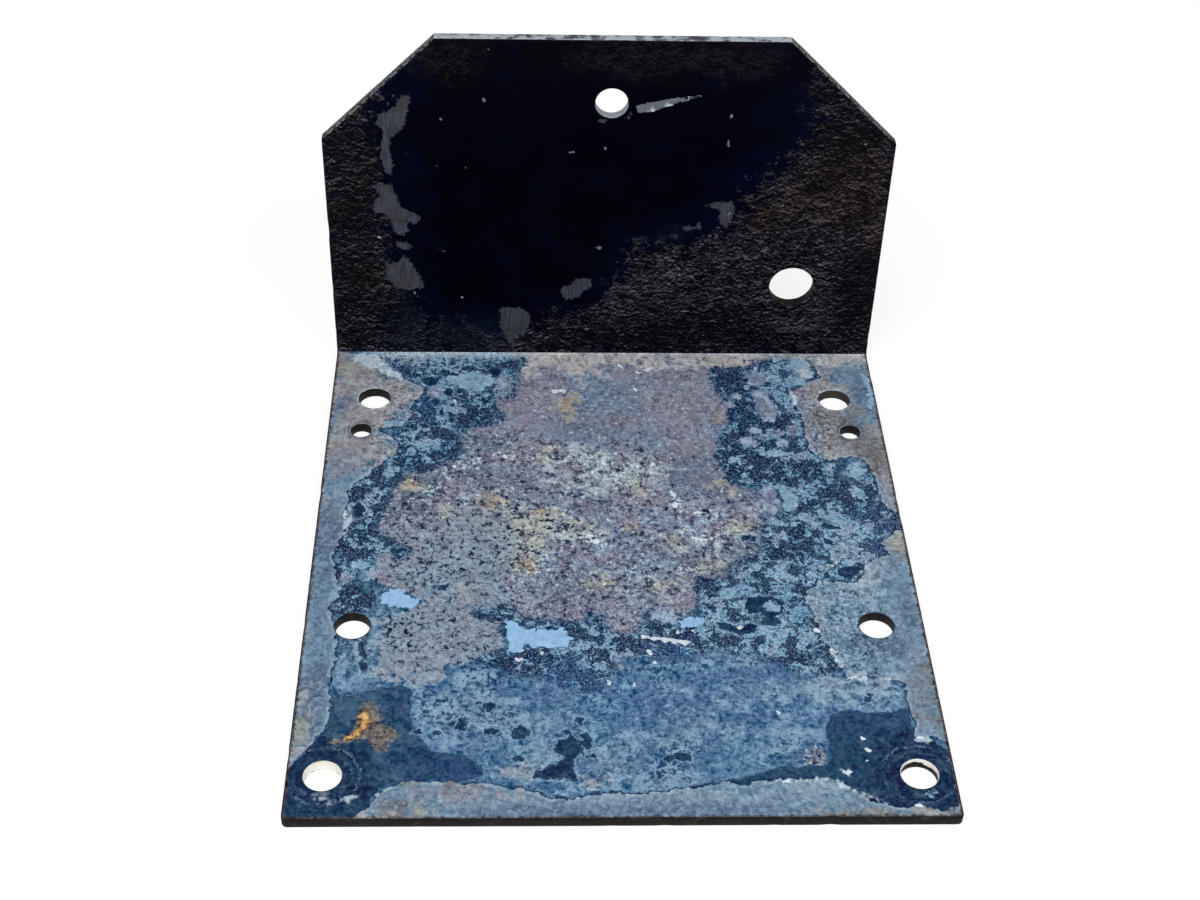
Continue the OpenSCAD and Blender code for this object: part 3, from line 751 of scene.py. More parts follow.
class Blank:
    """The sheet laid flat before folding: u runs along the fold, and v from the free edge to the top."""

    def __init__(self, sizes):
        self.sheet = sizes.sheet / MM
        self.edge = sizes.edge / MM
        self.rim = sizes.rim / MM
        self.nicks = sizes.edge_nicks / MM
        self.facet = sizes.facet / MM
        self.outer_facet = sizes.outer_facet / MM
        self.base_corner = sizes.base_corner / MM
        self.cut_corner = sizes.cut_corner / MM
        self.fold_outside = sizes.fold_inside / MM + self.sheet
        self.fold_middle = sizes.fold_inside / MM + self.sheet / 2
        self.fold_length = self.fold_middle * math.pi / 2
        self.fold_start = HIGH[1] - self.fold_outside
        self.fold_end = self.fold_start + self.fold_length
        self.finish_line = self.fold_start + self.fold_length / 2
        cut_w = sizes.cut_width / MM
        cut_h = sizes.cut_height / MM
        self.top = self.flat(HIGH[2])
        shoulder = self.flat(HIGH[2] - cut_h)
        self.corners = (
            (LOW[0], LOW[1], self.base_corner), (HIGH[0], LOW[1], self.base_corner),
            (HIGH[0], shoulder, self.cut_corner), (HIGH[0] - cut_w, self.top, self.cut_corner),
            (LOW[0] + cut_w, self.top, self.cut_corner), (LOW[0], shoulder, self.cut_corner),
        )
        self.hole_groups = self.grouped_holes()
        self.holes = [hole for group in self.hole_groups.values() for hole in group]

    def flat(self, z):
        """Where a height on the upright lies on the flat sheet."""
        return self.fold_end + z - self.fold_outside

    def upright_z(self, v):
        """The height on the upright of a place on the flat sheet."""
        return v - self.fold_end + self.fold_outside

    def near_fold(self, v):
        """Whether a place on the flat sheet is in the fold or close to it."""
        return self.fold_start - FOLD_ROOM < v < self.fold_end + FOLD_ROOM

    def grouped_holes(self):
        """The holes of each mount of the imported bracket: their places on the flat sheet and their radii."""
        groups = {}
        for name, mount in MOUNTS.items():
            x, y, z = (value / MM for value in mount["pos_m"])
            dims = mount["dims"]
            if mount["kind"] == "bolt_pattern":
                half = dims["spacing_x_mm"] / 2
                groups[name] = [(x - half, y, dims["hole_r_mm"]), (x + half, y, dims["hole_r_mm"])]
            elif mount["kind"] == "bore":
                groups[name] = [(x, self.flat(z), dims["r_mm"])]
        return groups

    def outline(self):
        """The sheet's outline as points and outward directions, with rounded corners and nicked edges."""
        places = []
        count = len(self.corners)
        for index, (u, v, radius) in enumerate(self.corners):
            here = Vector((u, v))
            before = (Vector(self.corners[index - 1][:2]) - here).normalized()
            after = (Vector(self.corners[(index + 1) % count][:2]) - here).normalized()
            half_angle = before.angle(after) / 2
            reach = radius / math.tan(half_angle)
            centre = here + (before + after).normalized() * (radius / math.sin(half_angle))
            start, end = here + before * reach, here + after * reach
            sweep = math.pi - 2 * half_angle
            first = math.atan2(*(start - centre).yx)
            steps = 5
            turns = [first + sweep * k / steps for k in range(steps + 1)]
            places += [centre + radius * Vector((math.cos(turn), math.sin(turn))) for turn in turns]
            ahead = Vector(self.corners[(index + 1) % count][:2])
            self.fill_edge(places, end, ahead, self.corners[(index + 1) % count][2])
        points = np.array([tuple(place) for place in places])
        along = np.roll(points, -1, axis=0) - np.roll(points, 1, axis=0)
        outward = np.stack([along[:, 1], -along[:, 0]], 1)
        outward /= np.linalg.norm(outward, axis=1)[:, None]
        depth = [self.nick(u, v) for u, v in points]
        return points - outward * np.array(depth)[:, None], outward

    def fill_edge(self, places, start, corner, radius):
        """Adds places along a straight edge, closer together across the fold."""
        run = corner - start
        corner_room = 1.5 * radius
        span = run.length - corner_room
        here = self.facet / 2
        while here < span:
            place = start + run.normalized() * here
            places.append(place)
            across_fold = abs(run.x) < abs(run.y) and self.near_fold(place.y)
            here += self.facet * (FOLD_SPACING if across_fold else 1)

    def nick(self, u, v):
        """Depth of the wear at a place on the cut edges: a fine ripple, and dents here and there."""
        place = Vector((u, v, 0))
        dents = max(noise.noise(place * DENTS_TO_MM) - DENT_FROM, 0) * DENT_DEPTH
        ripple = 0.5 + 0.5 * noise.noise(place * RIPPLES_TO_MM)
        return self.nicks * (RIPPLE_DEPTH * ripple + dents)

    def edge_rings(self, radius):
        """How far in and how high each ring of a rounded edge lies, from the seen to the outer side."""
        steps = 3
        turn = [math.pi / 2 * k / steps for k in range(steps + 1)]
        seen = [(radius * (1 - math.sin(a)), self.sheet - radius * (1 - math.cos(a))) for a in turn]
        outer = [(inset, self.sheet - height) for inset, height in reversed(seen)]
        return seen + [(0.0, self.sheet / 2)] + outer

    def rows(self, facet):
        """Places of the mesh's rows along v: one on the finish line, and close together in the fold."""
        step = facet * math.sqrt(3) / 2
        fold_step = min(step, self.fold_length / FOLD_ROWS)
        above = list(np.arange(self.finish_line, self.fold_end + fold_step, fold_step))
        below = list(np.arange(self.finish_line - fold_step, self.fold_start - fold_step, -fold_step))
        above += list(np.arange(above[-1] + step, self.top, step))
        below += list(np.arange(below[-1] - step, LOW[1], -step))
        return sorted(above + below)

    def lattice(self, facet):
        """Points of an even mesh over the sheet."""
        points = []
        for index, v in enumerate(self.rows(facet)):
            start = LOW[0] + facet / 2 * (index % 2)
            points += [(u, v) for u in np.arange(start, HIGH[0], facet)]
        return points

    def sharp_places(self):
        """Places that let the mesh follow the outlines of the small, sharp marks."""
        spacing = self.facet * MARK_SPACING
        grid = self.facet * MARK_GRID
        lift = self.flat(0.0)
        outlines = [(outline, 0.0) for name in SHARP_ON_BASE for outline in BASE_MARKS[name]]
        outlines += [(outline, lift) for name in SHARP_ON_UPRIGHT for outline in UPRIGHT_MARKS[name]]
        places = {}
        for outline, start in outlines:
            for u, height in mark_places(outline, spacing):
                v = height + start
                if not self.near_fold(v):
                    places.setdefault((round(u / grid), round(v / grid)), (u, v))
        return list(places.values())

    def mesh_places(self, facet, seen):
        """Points of the mesh over one side of the sheet, clear of its edges and holes."""
        even = self.lattice(facet)
        if seen:
            sharp = self.sharp_places()
            tree = kdtree.KDTree(len(sharp))
            for number, (u, v) in enumerate(sharp):
                tree.insert((u, v, 0), number)
            tree.balance()
            even = [(u, v) for u, v in even if tree.find((u, v, 0))[2] > facet * MARK_ROOM] + sharp
        points = np.array(even)
        room = self.edge + facet * EDGE_ROOM
        clear = depth_inside(points, [corner[:2] for corner in self.corners]) > room + self.nicks
        for u, v, radius in self.holes:
            clear &= np.hypot(points[:, 0] - u, points[:, 1] - v) > radius + room
        return points[clear]


class SheetMesh:
    """Gathers the vertices and faces of the flat sheet."""

    def __init__(self, blank):
        self.blank = blank
        self.places = []
        self.faces = []
        self.finish = []
        self.seen = []

    def add_places(self, flat, height, seen):
        """Adds vertices at one height and returns their numbers."""
        first = len(self.places)
        self.places += [(u, v, height) for u, v in flat]
        self.seen += [seen] * len(flat)
        return list(range(first, first + len(flat)))

    def add_wall(self, points, outward, radius):
        """Adds the worn edge round a cut, and returns its rings' vertices on the seen and the outer side."""
        rings = [self.add_places(points - outward * inset, height, 1 if number == 0 else 0)
                 for number, (inset, height) in enumerate(self.blank.edge_rings(radius))]
        for upper, lower in zip(rings, rings[1:]):
            for index in range(len(upper)):
                after = (index + 1) % len(upper)
                self.faces.append((upper[index], lower[index], lower[after], upper[after]))
                self.finish.append(CUT_EDGE)
        return rings[0], rings[-1]

    def add_flat(self, loops, facet, height, seen):
        """Fills the sheet between its cut edges with a mesh of triangles."""
        inner = self.add_places(self.blank.mesh_places(facet, seen), height, 1 if seen else 0)
        used = [number for loop in loops for number in loop] + inner
        edges = []
        first = 0
        for loop in loops:
            edges += [(first + k, first + (k + 1) % len(loop)) for k in range(len(loop))]
            first += len(loop)
        flat = [Vector(self.places[number][:2]) for number in used]
        inside_edges = 1
        found = geometry.delaunay_2d_cdt(flat, edges, [], inside_edges, TOLERANCE)
        new_places, triangles, source = found[0], found[2], found[3]
        if len(new_places) != len(flat):
            raise RuntimeError("the flat sheet's mesh gained or lost places")
        number_of = [used[ids[0]] for ids in source]
        rim_of = {number: hole for hole, loop in enumerate(loops[1:]) for number in loop}
        for triangle in triangles:
            corners = [number_of[k] for k in triangle]
            rims = {rim_of.get(number) for number in corners}
            fills_hole = len(rims) == 1 and None not in rims
            if fills_hole:
                continue
            middle = sum(self.places[number][1] for number in corners) / 3
            self.faces.append(corners if seen else corners[::-1])
            top_finish = BASE_TOP if middle < self.blank.finish_line else UPRIGHT_FRONT
            self.finish.append(top_finish if seen else OUTER_SIDE)

    def build(self):
        """Fills the whole sheet: cut edges first, then both sides."""
        blank = self.blank
        seen_loops = []
        outer_loops = []
        walls = [(*blank.outline(), blank.edge)]
        turns = np.linspace(0, -math.tau, HOLE_POINTS, endpoint=False)
        circle = np.stack([np.cos(turns), np.sin(turns)], 1)
        walls += [(np.array((u, v)) + radius * circle, -circle, blank.rim) for u, v, radius in blank.holes]
        for points, outward, radius in walls:
            seen_loop, outer_loop = self.add_wall(points, outward, radius)
            seen_loops.append(seen_loop)
            outer_loops.append(outer_loop)
        self.add_flat(seen_loops, blank.facet, blank.sheet, True)
        self.add_flat(outer_loops, blank.outer_facet, 0.0, False)

    def hole_gap(self, flat, holes):
        """How far each vertex is from the nearest of some holes."""
        gaps = [np.hypot(flat[:, 0] - u, flat[:, 1] - v) - radius for u, v, radius in holes]
        return np.clip(np.min(gaps, axis=0), 0, FIELD_REACH)

    def fields(self):
        """For each vertex: how deep it lies in each mark, and how far it is from cut edges and holes."""
        blank = self.blank
        places = np.array(self.places)
        flat = places[:, :2]
        seen = np.array(self.seen, bool)
        on_base = seen & (flat[:, 1] <= blank.finish_line + TOLERANCE)
        on_upright = seen & ~on_base
        up = np.stack([flat[:, 0], blank.upright_z(flat[:, 1])], 1)
        fields = {name: np.full(len(flat), -FIELD_REACH) for name in FIELD_NAMES}
        for name, outlines in BASE_MARKS.items():
            fields[name][on_base] = mark_field(flat[on_base], outlines)
        for name, outlines in UPRIGHT_MARKS.items():
            fields[name][on_upright] = mark_field(up[on_upright], outlines)
        fields["edge_gap"] = depth_inside(flat, [corner[:2] for corner in blank.corners])
        fields["hole_gap"] = self.hole_gap(flat, blank.holes)
        for name in RINGED_MOUNTS:
            fields[name + "_gap"] = self.hole_gap(flat, blank.hole_groups[name])
        fields["relief"] = self.relief(fields, seen)
        fields["bare_wall"] = self.wall_field(places, blank.hole_groups["front_bolts"], BARE_WALLS)
        fields["dusty_wall"] = self.wall_field(places, blank.hole_groups["rear_bolts"][1:], DUSTY_WALLS)
        return fields

    def wall_field(self, places, holes, from_heights):
        """How far above a height on the walls of some holes each vertex lies."""
        field = np.full(len(places), -1.0)
        for (u, v, radius), from_height in zip(holes, from_heights):
            on_wall = np.hypot(places[:, 0] - u, places[:, 1] - v) < radius + 2 * self.blank.rim
            field[on_wall] = places[on_wall, 2] - from_height
        return field

    def relief(self, fields, seen):
        """Height in metres by which paint, rust, grooves and chips stand over or under the seen face."""
        height = np.zeros(len(seen))
        for name, (rise, slope) in RAISED_MARKS.items():
            height += rise * np.clip(fields[name] / slope, 0, 1)
        groove = np.clip(1 - np.abs(fields["screws_gap"] - GROOVE_OUT) / GROOVE_HALF, 0, 1)
        return (height - GROOVE_DEPTH * groove) * seen * MM

    def make(self, name):
        """The flat sheet as a Blender mesh, in metres, with its fields as attributes."""
        mesh = bpy.data.meshes.new(name)
        mesh.from_pydata((np.array(self.places) * MM).tolist(), [], self.faces)
        fields = self.fields()
        fields["seen"] = np.array(self.seen)
        for field, values in fields.items():
            mesh.attributes.new(field, "FLOAT", "POINT").data.foreach_set("value", values.astype(np.float32))
        mesh.attributes.new("finish", "INT", "FACE").data.foreach_set("value", self.finish)
        return mesh


class NodeWriter:
    """Adds nodes to a tree and joins them up; values may be numbers, colours or sockets."""

    def __init__(self, tree):
        self.tree = tree

    def node(self, kind, **settings):
        """A new node with these settings."""
        made = self.tree.nodes.new(kind)
        for name, value in settings.items():
            setattr(made, name, value)
        return made

    def join(self, value, socket):
        """Feeds a socket from another, or sets it."""
        if isinstance(value, bpy.types.NodeSocket):
            self.tree.links.new(value, socket)
        else:
            socket.default_value = value

    def maths(self, operation, *values):
        """A sum on numbers."""
        made = self.node("ShaderNodeMath", operation=operation)
        for value, socket in zip(values, made.inputs):
            self.join(value, socket)
        return made.outputs[0]

    def add(self, *values):
        """The sum of several numbers."""
        total = values[0]
        for value in values[1:]:
            total = self.maths("ADD", total, value)
        return total

    def times(self, *values):
        """The product of several numbers."""
        total = values[0]
        for value in values[1:]:
            total = self.maths("MULTIPLY", total, value)
        return total

    def vector(self, operation, place, values):
        """A sum on a place and three numbers."""
        made = self.node("ShaderNodeVectorMath", operation=operation)
        self.join(place, made.inputs[0])
        made.inputs[1].default_value = values
        return made.outputs[0]

    def axes(self, place):
        """The parts of a place, by the names of the axes."""
        made = self.node("ShaderNodeSeparateXYZ")
        self.join(place, made.inputs[0])
        return made.outputs

    def point(self, *values):
        """A place made of its parts."""
        made = self.node("ShaderNodeCombineXYZ")
        for value, socket in zip(values, made.inputs):
            self.join(value, socket)
        return made.outputs[0]

    def texture(self, place, dimensions, **settings):
        """Noise from 0 to 1 over a place; the settings are named as the sockets of the noise are."""
        made = self.node("ShaderNodeTexNoise", noise_dimensions=dimensions)
        self.join(place, made.inputs["Vector"])
        for name, value in settings.items():
            made.inputs[name].default_value = value
        return made.outputs[0]


class FoldTree(NodeWriter):
    """The geometry tree that raises the flat sheet's relief, folds it up and gives each face its finish."""

    SIZES = ("Fold Start", "Outside Radius", "Middle Radius", "Fold Angle", "Wrinkle", "Bow")

    def __init__(self, name, finishes):
        super().__init__(bpy.data.node_groups.new(name, "GeometryNodeTree"))
        interface = self.tree.interface
        interface.new_socket("Geometry", in_out="INPUT", socket_type="NodeSocketGeometry")
        self.identifiers = {
            size: interface.new_socket(size, in_out="INPUT", socket_type="NodeSocketFloat").identifier
            for size in self.SIZES
        }
        interface.new_socket("Geometry", in_out="OUTPUT", socket_type="NodeSocketGeometry")
        self.inputs = self.node("NodeGroupInput").outputs
        moved = self.node("GeometryNodeSetPosition")
        self.join(self.inputs["Geometry"], moved.inputs["Geometry"])
        self.join(self.folded_place(), moved.inputs["Position"])
        whole = self.node("GeometryNodeRealizeInstances")
        self.join(moved.outputs["Geometry"], whole.inputs["Geometry"])
        result = whole.outputs["Geometry"]
        for number, material in enumerate(finishes):
            result = self.finished(result, number, material)
        self.join(result, self.node("NodeGroupOutput").inputs["Geometry"])

    def attribute(self, name, data_type="FLOAT"):
        """A field stored on the flat sheet."""
        made = self.node("GeometryNodeInputNamedAttribute", data_type=data_type)
        made.inputs["Name"].default_value = name
        return made.outputs["Attribute"]

    def ripple(self, place, scale, detail):
        """Noise from -1 to 1 over the flat sheet."""
        return self.maths("MULTIPLY_ADD", self.texture(place, "3D", Scale=scale, Detail=detail), 2.0, -1.0)

    def raised(self, place, height):
        """The height through the sheet with the relief of the seen side and the bow of the flats added."""
        stretched = self.vector("MULTIPLY", place, WRINKLE_STRETCH)
        in_rough = self.maths("MULTIPLY", self.attribute("rough"), WRINKLE_RISE)
        in_rough.node.use_clamp = True
        wrinkle = self.times(self.ripple(stretched, WRINKLES_TO_M, 2.0), self.inputs["Wrinkle"], in_rough)
        bow = self.times(self.ripple(place, BOWS_TO_M, 0.0), self.inputs["Bow"])
        seen_relief = self.times(self.add(self.attribute("relief"), wrinkle), self.attribute("seen"))
        clear_of_floor = self.maths("MAXIMUM", self.add(height, bow), 0.0)
        bowed = self.maths("MINIMUM", clear_of_floor, self.add(height, self.inputs["Bow"]))
        return self.add(bowed, seen_relief)

    def folded_place(self):
        """Where each place of the flat sheet lies once the sheet is folded."""
        place = self.node("GeometryNodeInputPosition").outputs[0]
        parts = self.axes(place)
        along = parts["Y"]
        height = self.raised(place, parts["Z"])
        start = self.inputs["Fold Start"]
        outside = self.inputs["Outside Radius"]
        middle = self.inputs["Middle Radius"]
        angle = self.inputs["Fold Angle"]
        past_start = self.maths("MAXIMUM", self.maths("SUBTRACT", along, start), 0.0)
        turned = self.maths("MINIMUM", self.maths("DIVIDE", past_start, middle), angle)
        past_end = self.maths("SUBTRACT", past_start, self.times(turned, middle))
        radius = self.maths("SUBTRACT", outside, height)
        y = self.add(self.maths("MINIMUM", along, start), self.times(radius, self.maths("SINE", turned)),
                     self.times(past_end, self.maths("COSINE", angle)))
        rise = self.maths("SUBTRACT", outside, self.times(radius, self.maths("COSINE", turned)))
        z = self.add(rise, self.times(past_end, self.maths("SINE", angle)))
        return self.point(parts["X"], y, z)

    def finished(self, shape, number, material):
        """Gives the faces of one finish its material."""
        chosen = self.node("FunctionNodeCompare", data_type="INT", operation="EQUAL")
        self.join(self.attribute("finish", "INT"), chosen.inputs["A"])
        wanted = [socket for socket in chosen.inputs if socket.name == "B" and socket.type == "INT"]
        self.join(number, wanted[0])
        painted = self.node("GeometryNodeSetMaterial")
        self.join(shape, painted.inputs["Geometry"])
        self.join(chosen.outputs[0], painted.inputs["Selection"])
        painted.inputs["Material"].default_value = material
        return painted.outputs["Geometry"]


class Finish(NodeWriter):
    """A layered finish: each coat lies over the last where its mark and its noise say."""

    def __init__(self, name, specular, plane=None):
        self.material = bpy.data.materials.new(name)
        self.material.use_nodes = True
        super().__init__(self.material.node_tree)
        self.shader = self.tree.nodes["Principled BSDF"]
        self.shader.inputs["Specular IOR Level"].default_value = specular
        source = self.node("ShaderNodeTexCoord").outputs["Object"]
        self.place = self.vector("MULTIPLY", source, (1 / MM, 1 / MM, 1 / MM))
        self.dimensions = "3D"
        if plane:
            parts = self.axes(self.place)
            self.place = self.point(*(parts[axis] for axis in plane))
            self.dimensions = "2D"
        self.colour = None
        self.roughness = 0.5
        self.height = 0.0

    def noise(self, scale, detail=3.0, distortion=0.0, stretch=None, shift=0.0):
        """Noise from 0 to 1; scale is in features to the millimetre."""
        place = self.place
        if stretch:
            place = self.vector("MULTIPLY", place, stretch)
        if shift:
            place = self.vector("ADD", place, shift if isinstance(shift, tuple) else (shift, shift, shift))
        return self.texture(place, self.dimensions, Scale=scale, Detail=detail, Roughness=NOISE_ROUGHNESS,
                            Distortion=distortion)

    def lit(self, scale, stretch, reach, shift):
        """How fast noise falls off along its second axis: wrinkles lit from that side, either side of 0."""
        here = self.noise(scale, 3, distortion=0.5, stretch=stretch, shift=shift)
        beyond = self.noise(scale, 3, distortion=0.5, stretch=stretch, shift=(shift, shift + reach, shift))
        return self.maths("SUBTRACT", here, beyond)

    def field(self, name):
        """How deep a place lies in a mark, in millimetres."""
        return self.node("ShaderNodeAttribute", attribute_name=name).outputs["Fac"]

    def step(self, value, low, high):
        """Rises smoothly from 0 at low to 1 at high."""
        made = self.node("ShaderNodeMapRange", interpolation_type="SMOOTHSTEP")
        self.join(value, made.inputs["Value"])
        made.inputs["From Min"].default_value = low
        made.inputs["From Max"].default_value = high
        return made.outputs["Result"]

    def swing(self, value, amount):
        """Noise turned to a number that swings either side of 0 by about half of amount."""
        return self.maths("MULTIPLY_ADD", value, amount, -amount / 2)

    def mix(self, share, first, second, blend="MIX"):
        """A mix of two colours."""
        made = self.node("ShaderNodeMix", data_type="RGBA", blend_type=blend)
        self.join(share, made.inputs[0])
        for value, socket in ((first, made.inputs[6]), (second, made.inputs[7])):
            self.join(value if isinstance(value, bpy.types.NodeSocket) else (*value, 1.0), socket)
        return made.outputs[2]

    def blend(self, share, first, second):
        """A mix of two numbers."""
        made = self.node("ShaderNodeMix", data_type="FLOAT")
        self.join(share, made.inputs[0])
        self.join(first, made.inputs[2])
        self.join(second, made.inputs[3])
        return made.outputs[0]

    def mask(self, name, ragged, crisp=0.15):
        """Where a coat lies: in its mark, with an edge as ragged as the noise."""
        return self.step(self.add(self.field(name), ragged), -crisp, crisp)

    def coat(self, mask, tint, roughness=None):
        """Lays a coat over what is there."""
        self.colour = self.mix(mask, self.colour, tint)
        if roughness is not None:
            self.roughness = self.blend(mask, self.roughness, roughness)

    def grey(self, value):
        """A grey made of one number."""
        made = self.node("ShaderNodeCombineColor")
        for socket in made.inputs:
            self.join(value, socket)
        return made.outputs[0]

    def shade(self, factor):
        """Lightens or darkens what is there by a number."""
        self.colour = self.mix(1.0, self.colour, self.grey(factor), "MULTIPLY")

    def brighten(self, amount):
        """Adds a number to all parts of the colour, which never gets quite black."""
        self.colour = self.mix(1.0, self.colour, self.grey(amount), "ADD")
        self.colour = self.mix(1.0, self.colour, DARKEST, "LIGHTEN")

    def finish(self):
        """Feeds the shader and returns the material. Heights are in millimetres."""
        self.join(self.colour, self.shader.inputs["Base Color"])
        self.join(self.roughness, self.shader.inputs["Roughness"])
        bump = self.node("ShaderNodeBump")
        bump.inputs["Distance"].default_value = MM
        self.join(self.height, bump.inputs["Height"])
        self.join(bump.outputs["Normal"], self.shader.inputs["Normal"])
        return self.material


class StainedBase(Finish):
    """The top of the base: stained steel under weathered, flaking paint."""

    def __init__(self, tints):
        super().__init__("stained_base", 0.2, "XY")
        self.tints = tints
        self.cloud = self.noise(0.09, 2)
        self.drift = self.noise(0.27, 2, shift=11.0)
        self.blob = self.noise(0.52, 2, distortion=0.7)
        self.spot = self.noise(1.05, 2, distortion=0.4, shift=7.0)
        self.crumb = self.noise(1.9, 2, shift=23.0)
        self.grain = self.noise(3.2, 1, stretch=(1.0, 0.7, 1.0), shift=19.0)
        self.torn = self.swings(blob=2.6, spot=2.2)
        self.ragged = self.swings(drift=4.0, blob=5.0, spot=3.0)
        self.loose = self.swings(cloud=12.0, drift=9.0, blob=8.0)
        self.hue = self.step(self.add(self.cloud, self.swing(self.drift, 0.9)), 0.42, 0.58)
        self.grit = 0.5
        parts = self.axes(self.place)
        self.across = parts["X"]
        self.along = parts["Y"]
        self.chalked_paint()
        self.steel()
        self.crust()
        self.navy()
        self.border()
        self.small_marks()
        self.hole_rings()
        self.textured()

    def swings(self, **amounts):
        """A sum of noises, named, that each swing either side of 0 by about half of an amount."""
        return self.add(*(self.swing(getattr(self, name), amount) for name, amount in amounts.items()))

    def lay(self, mask, tint, roughness, grit):
        """Lays a coat with its own coarseness over what is there."""
        self.coat(mask, tint, roughness)
        self.grit = self.blend(mask, self.grit, grit)

    def stained(self, ground, *stains):
        """A colour under soft stains; each has a mark, a tint, a share and the width of its edge."""
        for name, tint, share, soft in stains:
            covered = self.mask(name, self.times(self.loose, soft / 2), soft)
            ground = self.mix(self.times(covered, share), ground, tint)
        return ground

    def slope(self, scale, shift):
        """How fast noise falls off to one side, for grains with a lit and a shaded side."""
        reach = 0.14
        here, beside = (self.noise(scale, 2, shift=shift + step) for step in (0.0, reach))
        return self.maths("SUBTRACT", here, beside)

    def inside(self, name, soft):
        """A soft share of a mark: 0 outside, 1 well inside."""
        return self.step(self.add(self.field(name), self.times(self.loose, soft / 3)), -soft, soft)

    def chalked_paint(self):
        """Weathered blue paint, more or less covered in pale chalk, with dark specks of sound paint."""
        tints = self.tints
        # Painted sky reflection: lighter blue on the near part of the base, darker paint towards the fold
        towards_fold = self.step(self.add(self.along, self.loose), *PAINTED_SKY_REFLECTION_END)
        ground = self.mix(towards_fold, tints.bloom, tints.side)
        self.colour = self.stained(
            ground, ("deep_blue", tints.deep_blue, 0.8, 2.4), ("royal", tints.deep_blue, 0.55, 3.0),
            ("sky", tints.sky, 0.5, 1.6))
        mottle = self.swings(blob=8.0, spot=7.0, crumb=5.0)
        chalky = self.inside("chalk", 3.0)
        amount = self.add(self.swings(cloud=9.0, drift=9.0), self.times(chalky, 1.1),
                          self.times(self.inside("royal", 3.0), -0.5))
        chalk = self.mix(self.times(chalky, 0.6), tints.bloom_pale, tints.border_grey)
        chalk = self.stained(chalk, ("greened", tints.steel_green, 0.5, 1.5))
        self.coat(self.times(self.step(self.add(mottle, amount), -3.1, 3.6), 0.95), chalk)
        self.coat(self.times(self.step(self.add(mottle, amount), 1.6, 3.6), 0.5), tints.bloom_light)
        speckled = self.inside("mottle", 3.0)
        dark = self.step(self.add(self.times(mottle, -1.0), self.times(speckled, 0.8)), 1.1, 1.7)
        self.coat(self.times(dark, self.add(self.times(speckled, 0.5), 0.3)), tints.bloom_dark)

    def steel(self):
        """Bare steel with brown, purple, grey and yellow stains and pale crumbs, calmer towards the fold."""
        tints = self.tints
        ground = self.stained(
            self.mix(self.hue, tints.steel_brown, tints.steel),
            ("ashen", tints.steel_ashen, 0.8, 2.0), ("browned", tints.steel_brown, 0.75, 2.0),
            ("purple", tints.steel_purple, 0.8, 2.0), ("slate", tints.slate, 0.75, 1.5),
            ("greened", tints.steel_green, 0.85, 1.6), ("yellowed", tints.yellowed, 0.7, 1.4),
            ("tawny", tints.tawny, 0.8, 0.9), ("pale_tan", tints.pale_tan, 0.85, 2.6))
        patches = self.swings(drift=6.0, blob=8.0)
        self.restless = self.maths("SUBTRACT", 1.0, self.times(self.inside("smooth", 3.0), 0.75))
        pale = self.times(self.step(patches, 0.2, 1.0), self.restless, 0.22)
        dark = self.times(self.step(patches, -0.2, -1.0), self.restless, 0.5)
        ground = self.mix(dark, self.mix(pale, ground, tints.steel_green), tints.steel_purple)
        self.bare_ground = ground
        on_steel = self.mask("steel", self.ragged, 0.35)
        self.lay(on_steel, ground, 0.58, self.add(self.times(self.restless, 0.3), 0.55))
        crumbs = self.add(self.swings(spot=10.0, crumb=6.0), self.times(self.inside("frost", 1.2), 1.5))
        self.coat(self.times(self.step(crumbs, 2.0, 2.5), on_steel, 0.65), tints.frost)

    def crust(self):
        """Grey crust on the left with dark pits."""
        tints = self.tints
        ground = self.mix(self.hue, tints.tan, tints.tan_green)
        ground = self.mix(0.3, ground, self.bare_ground)
        self.lay(self.mask("tan", self.ragged, 0.5), ground, 0.6, 0.75)
        pits = self.add(self.swings(blob=-5.0, spot=-9.0, crumb=-5.0, cloud=3.0),
                        self.times(self.inside("pitted", 3.0), 0.4))
        on_crust = self.step(self.field("pitted"), -4.0, 0.0)
        self.lay(self.times(self.step(pits, 1.55, 1.7), on_crust), tints.pit, 0.6, 0.4)
        cracks = self.swings(blob=-6.0, spot=-10.0)
        on_steel = self.mask("steel", self.ragged, 0.5)
        self.coat(self.times(self.step(cracks, 1.2, 1.7), on_steel, self.restless, 0.5), tints.pit)

    def navy(self):
        """Sound dark paint: solid in places, broken into flakes in others."""
        tints = self.tints
        reach = self.add(self.field("navy"), 0.8)
        zone = self.maths("MINIMUM", reach, 0.6)
        bias = self.add(zone, -0.45, self.times(self.inside("dense", 1.5), 1.4),
                        self.times(self.inside("sparse", 1.5), -1.2))
        held = self.add(bias, self.swings(drift=11.0, blob=13.0, spot=6.0, crumb=3.0))
        near = self.step(self.add(reach, self.ragged), -0.5, 0.3)
        flakes = self.mix(self.step(self.drift, 0.34, 0.48), tints.flake_lilac, tints.flake)
        flakes = self.mix(self.step(self.cloud, 0.46, 0.6), flakes, tints.flake_blue)
        flakes = self.stained(flakes, ("lilac", tints.flake_lilac, 0.7, 4.0), ("sky", tints.sky, 0.8, 1.2),
                              ("greened", tints.steel_green, 0.8, 1.5))
        broken = self.mix(self.step(held, -0.58, -0.4), flakes, tints.side)
        broken = self.stained(broken, ("deep_blue", tints.deep_blue, 0.8, 2.4))
        self.lay(near, broken, 0.5, 0.95)
        sound = self.mix(self.step(held, 0.1, 0.8), tints.navy_blue, tints.navy)
        sound = self.stained(sound, ("deep_blue", tints.deep_navy, 0.8, 2.4))
        self.lay(self.times(self.step(held, -0.05, 0.05), self.step(reach, -1.5, -0.8)), sound, 0.36, 0.65)
        specks = self.step(self.swings(grain=8.0, crumb=6.0, spot=-3.0), 1.3, 1.6)
        self.coat(self.times(specks, near, 0.4), tints.flake)
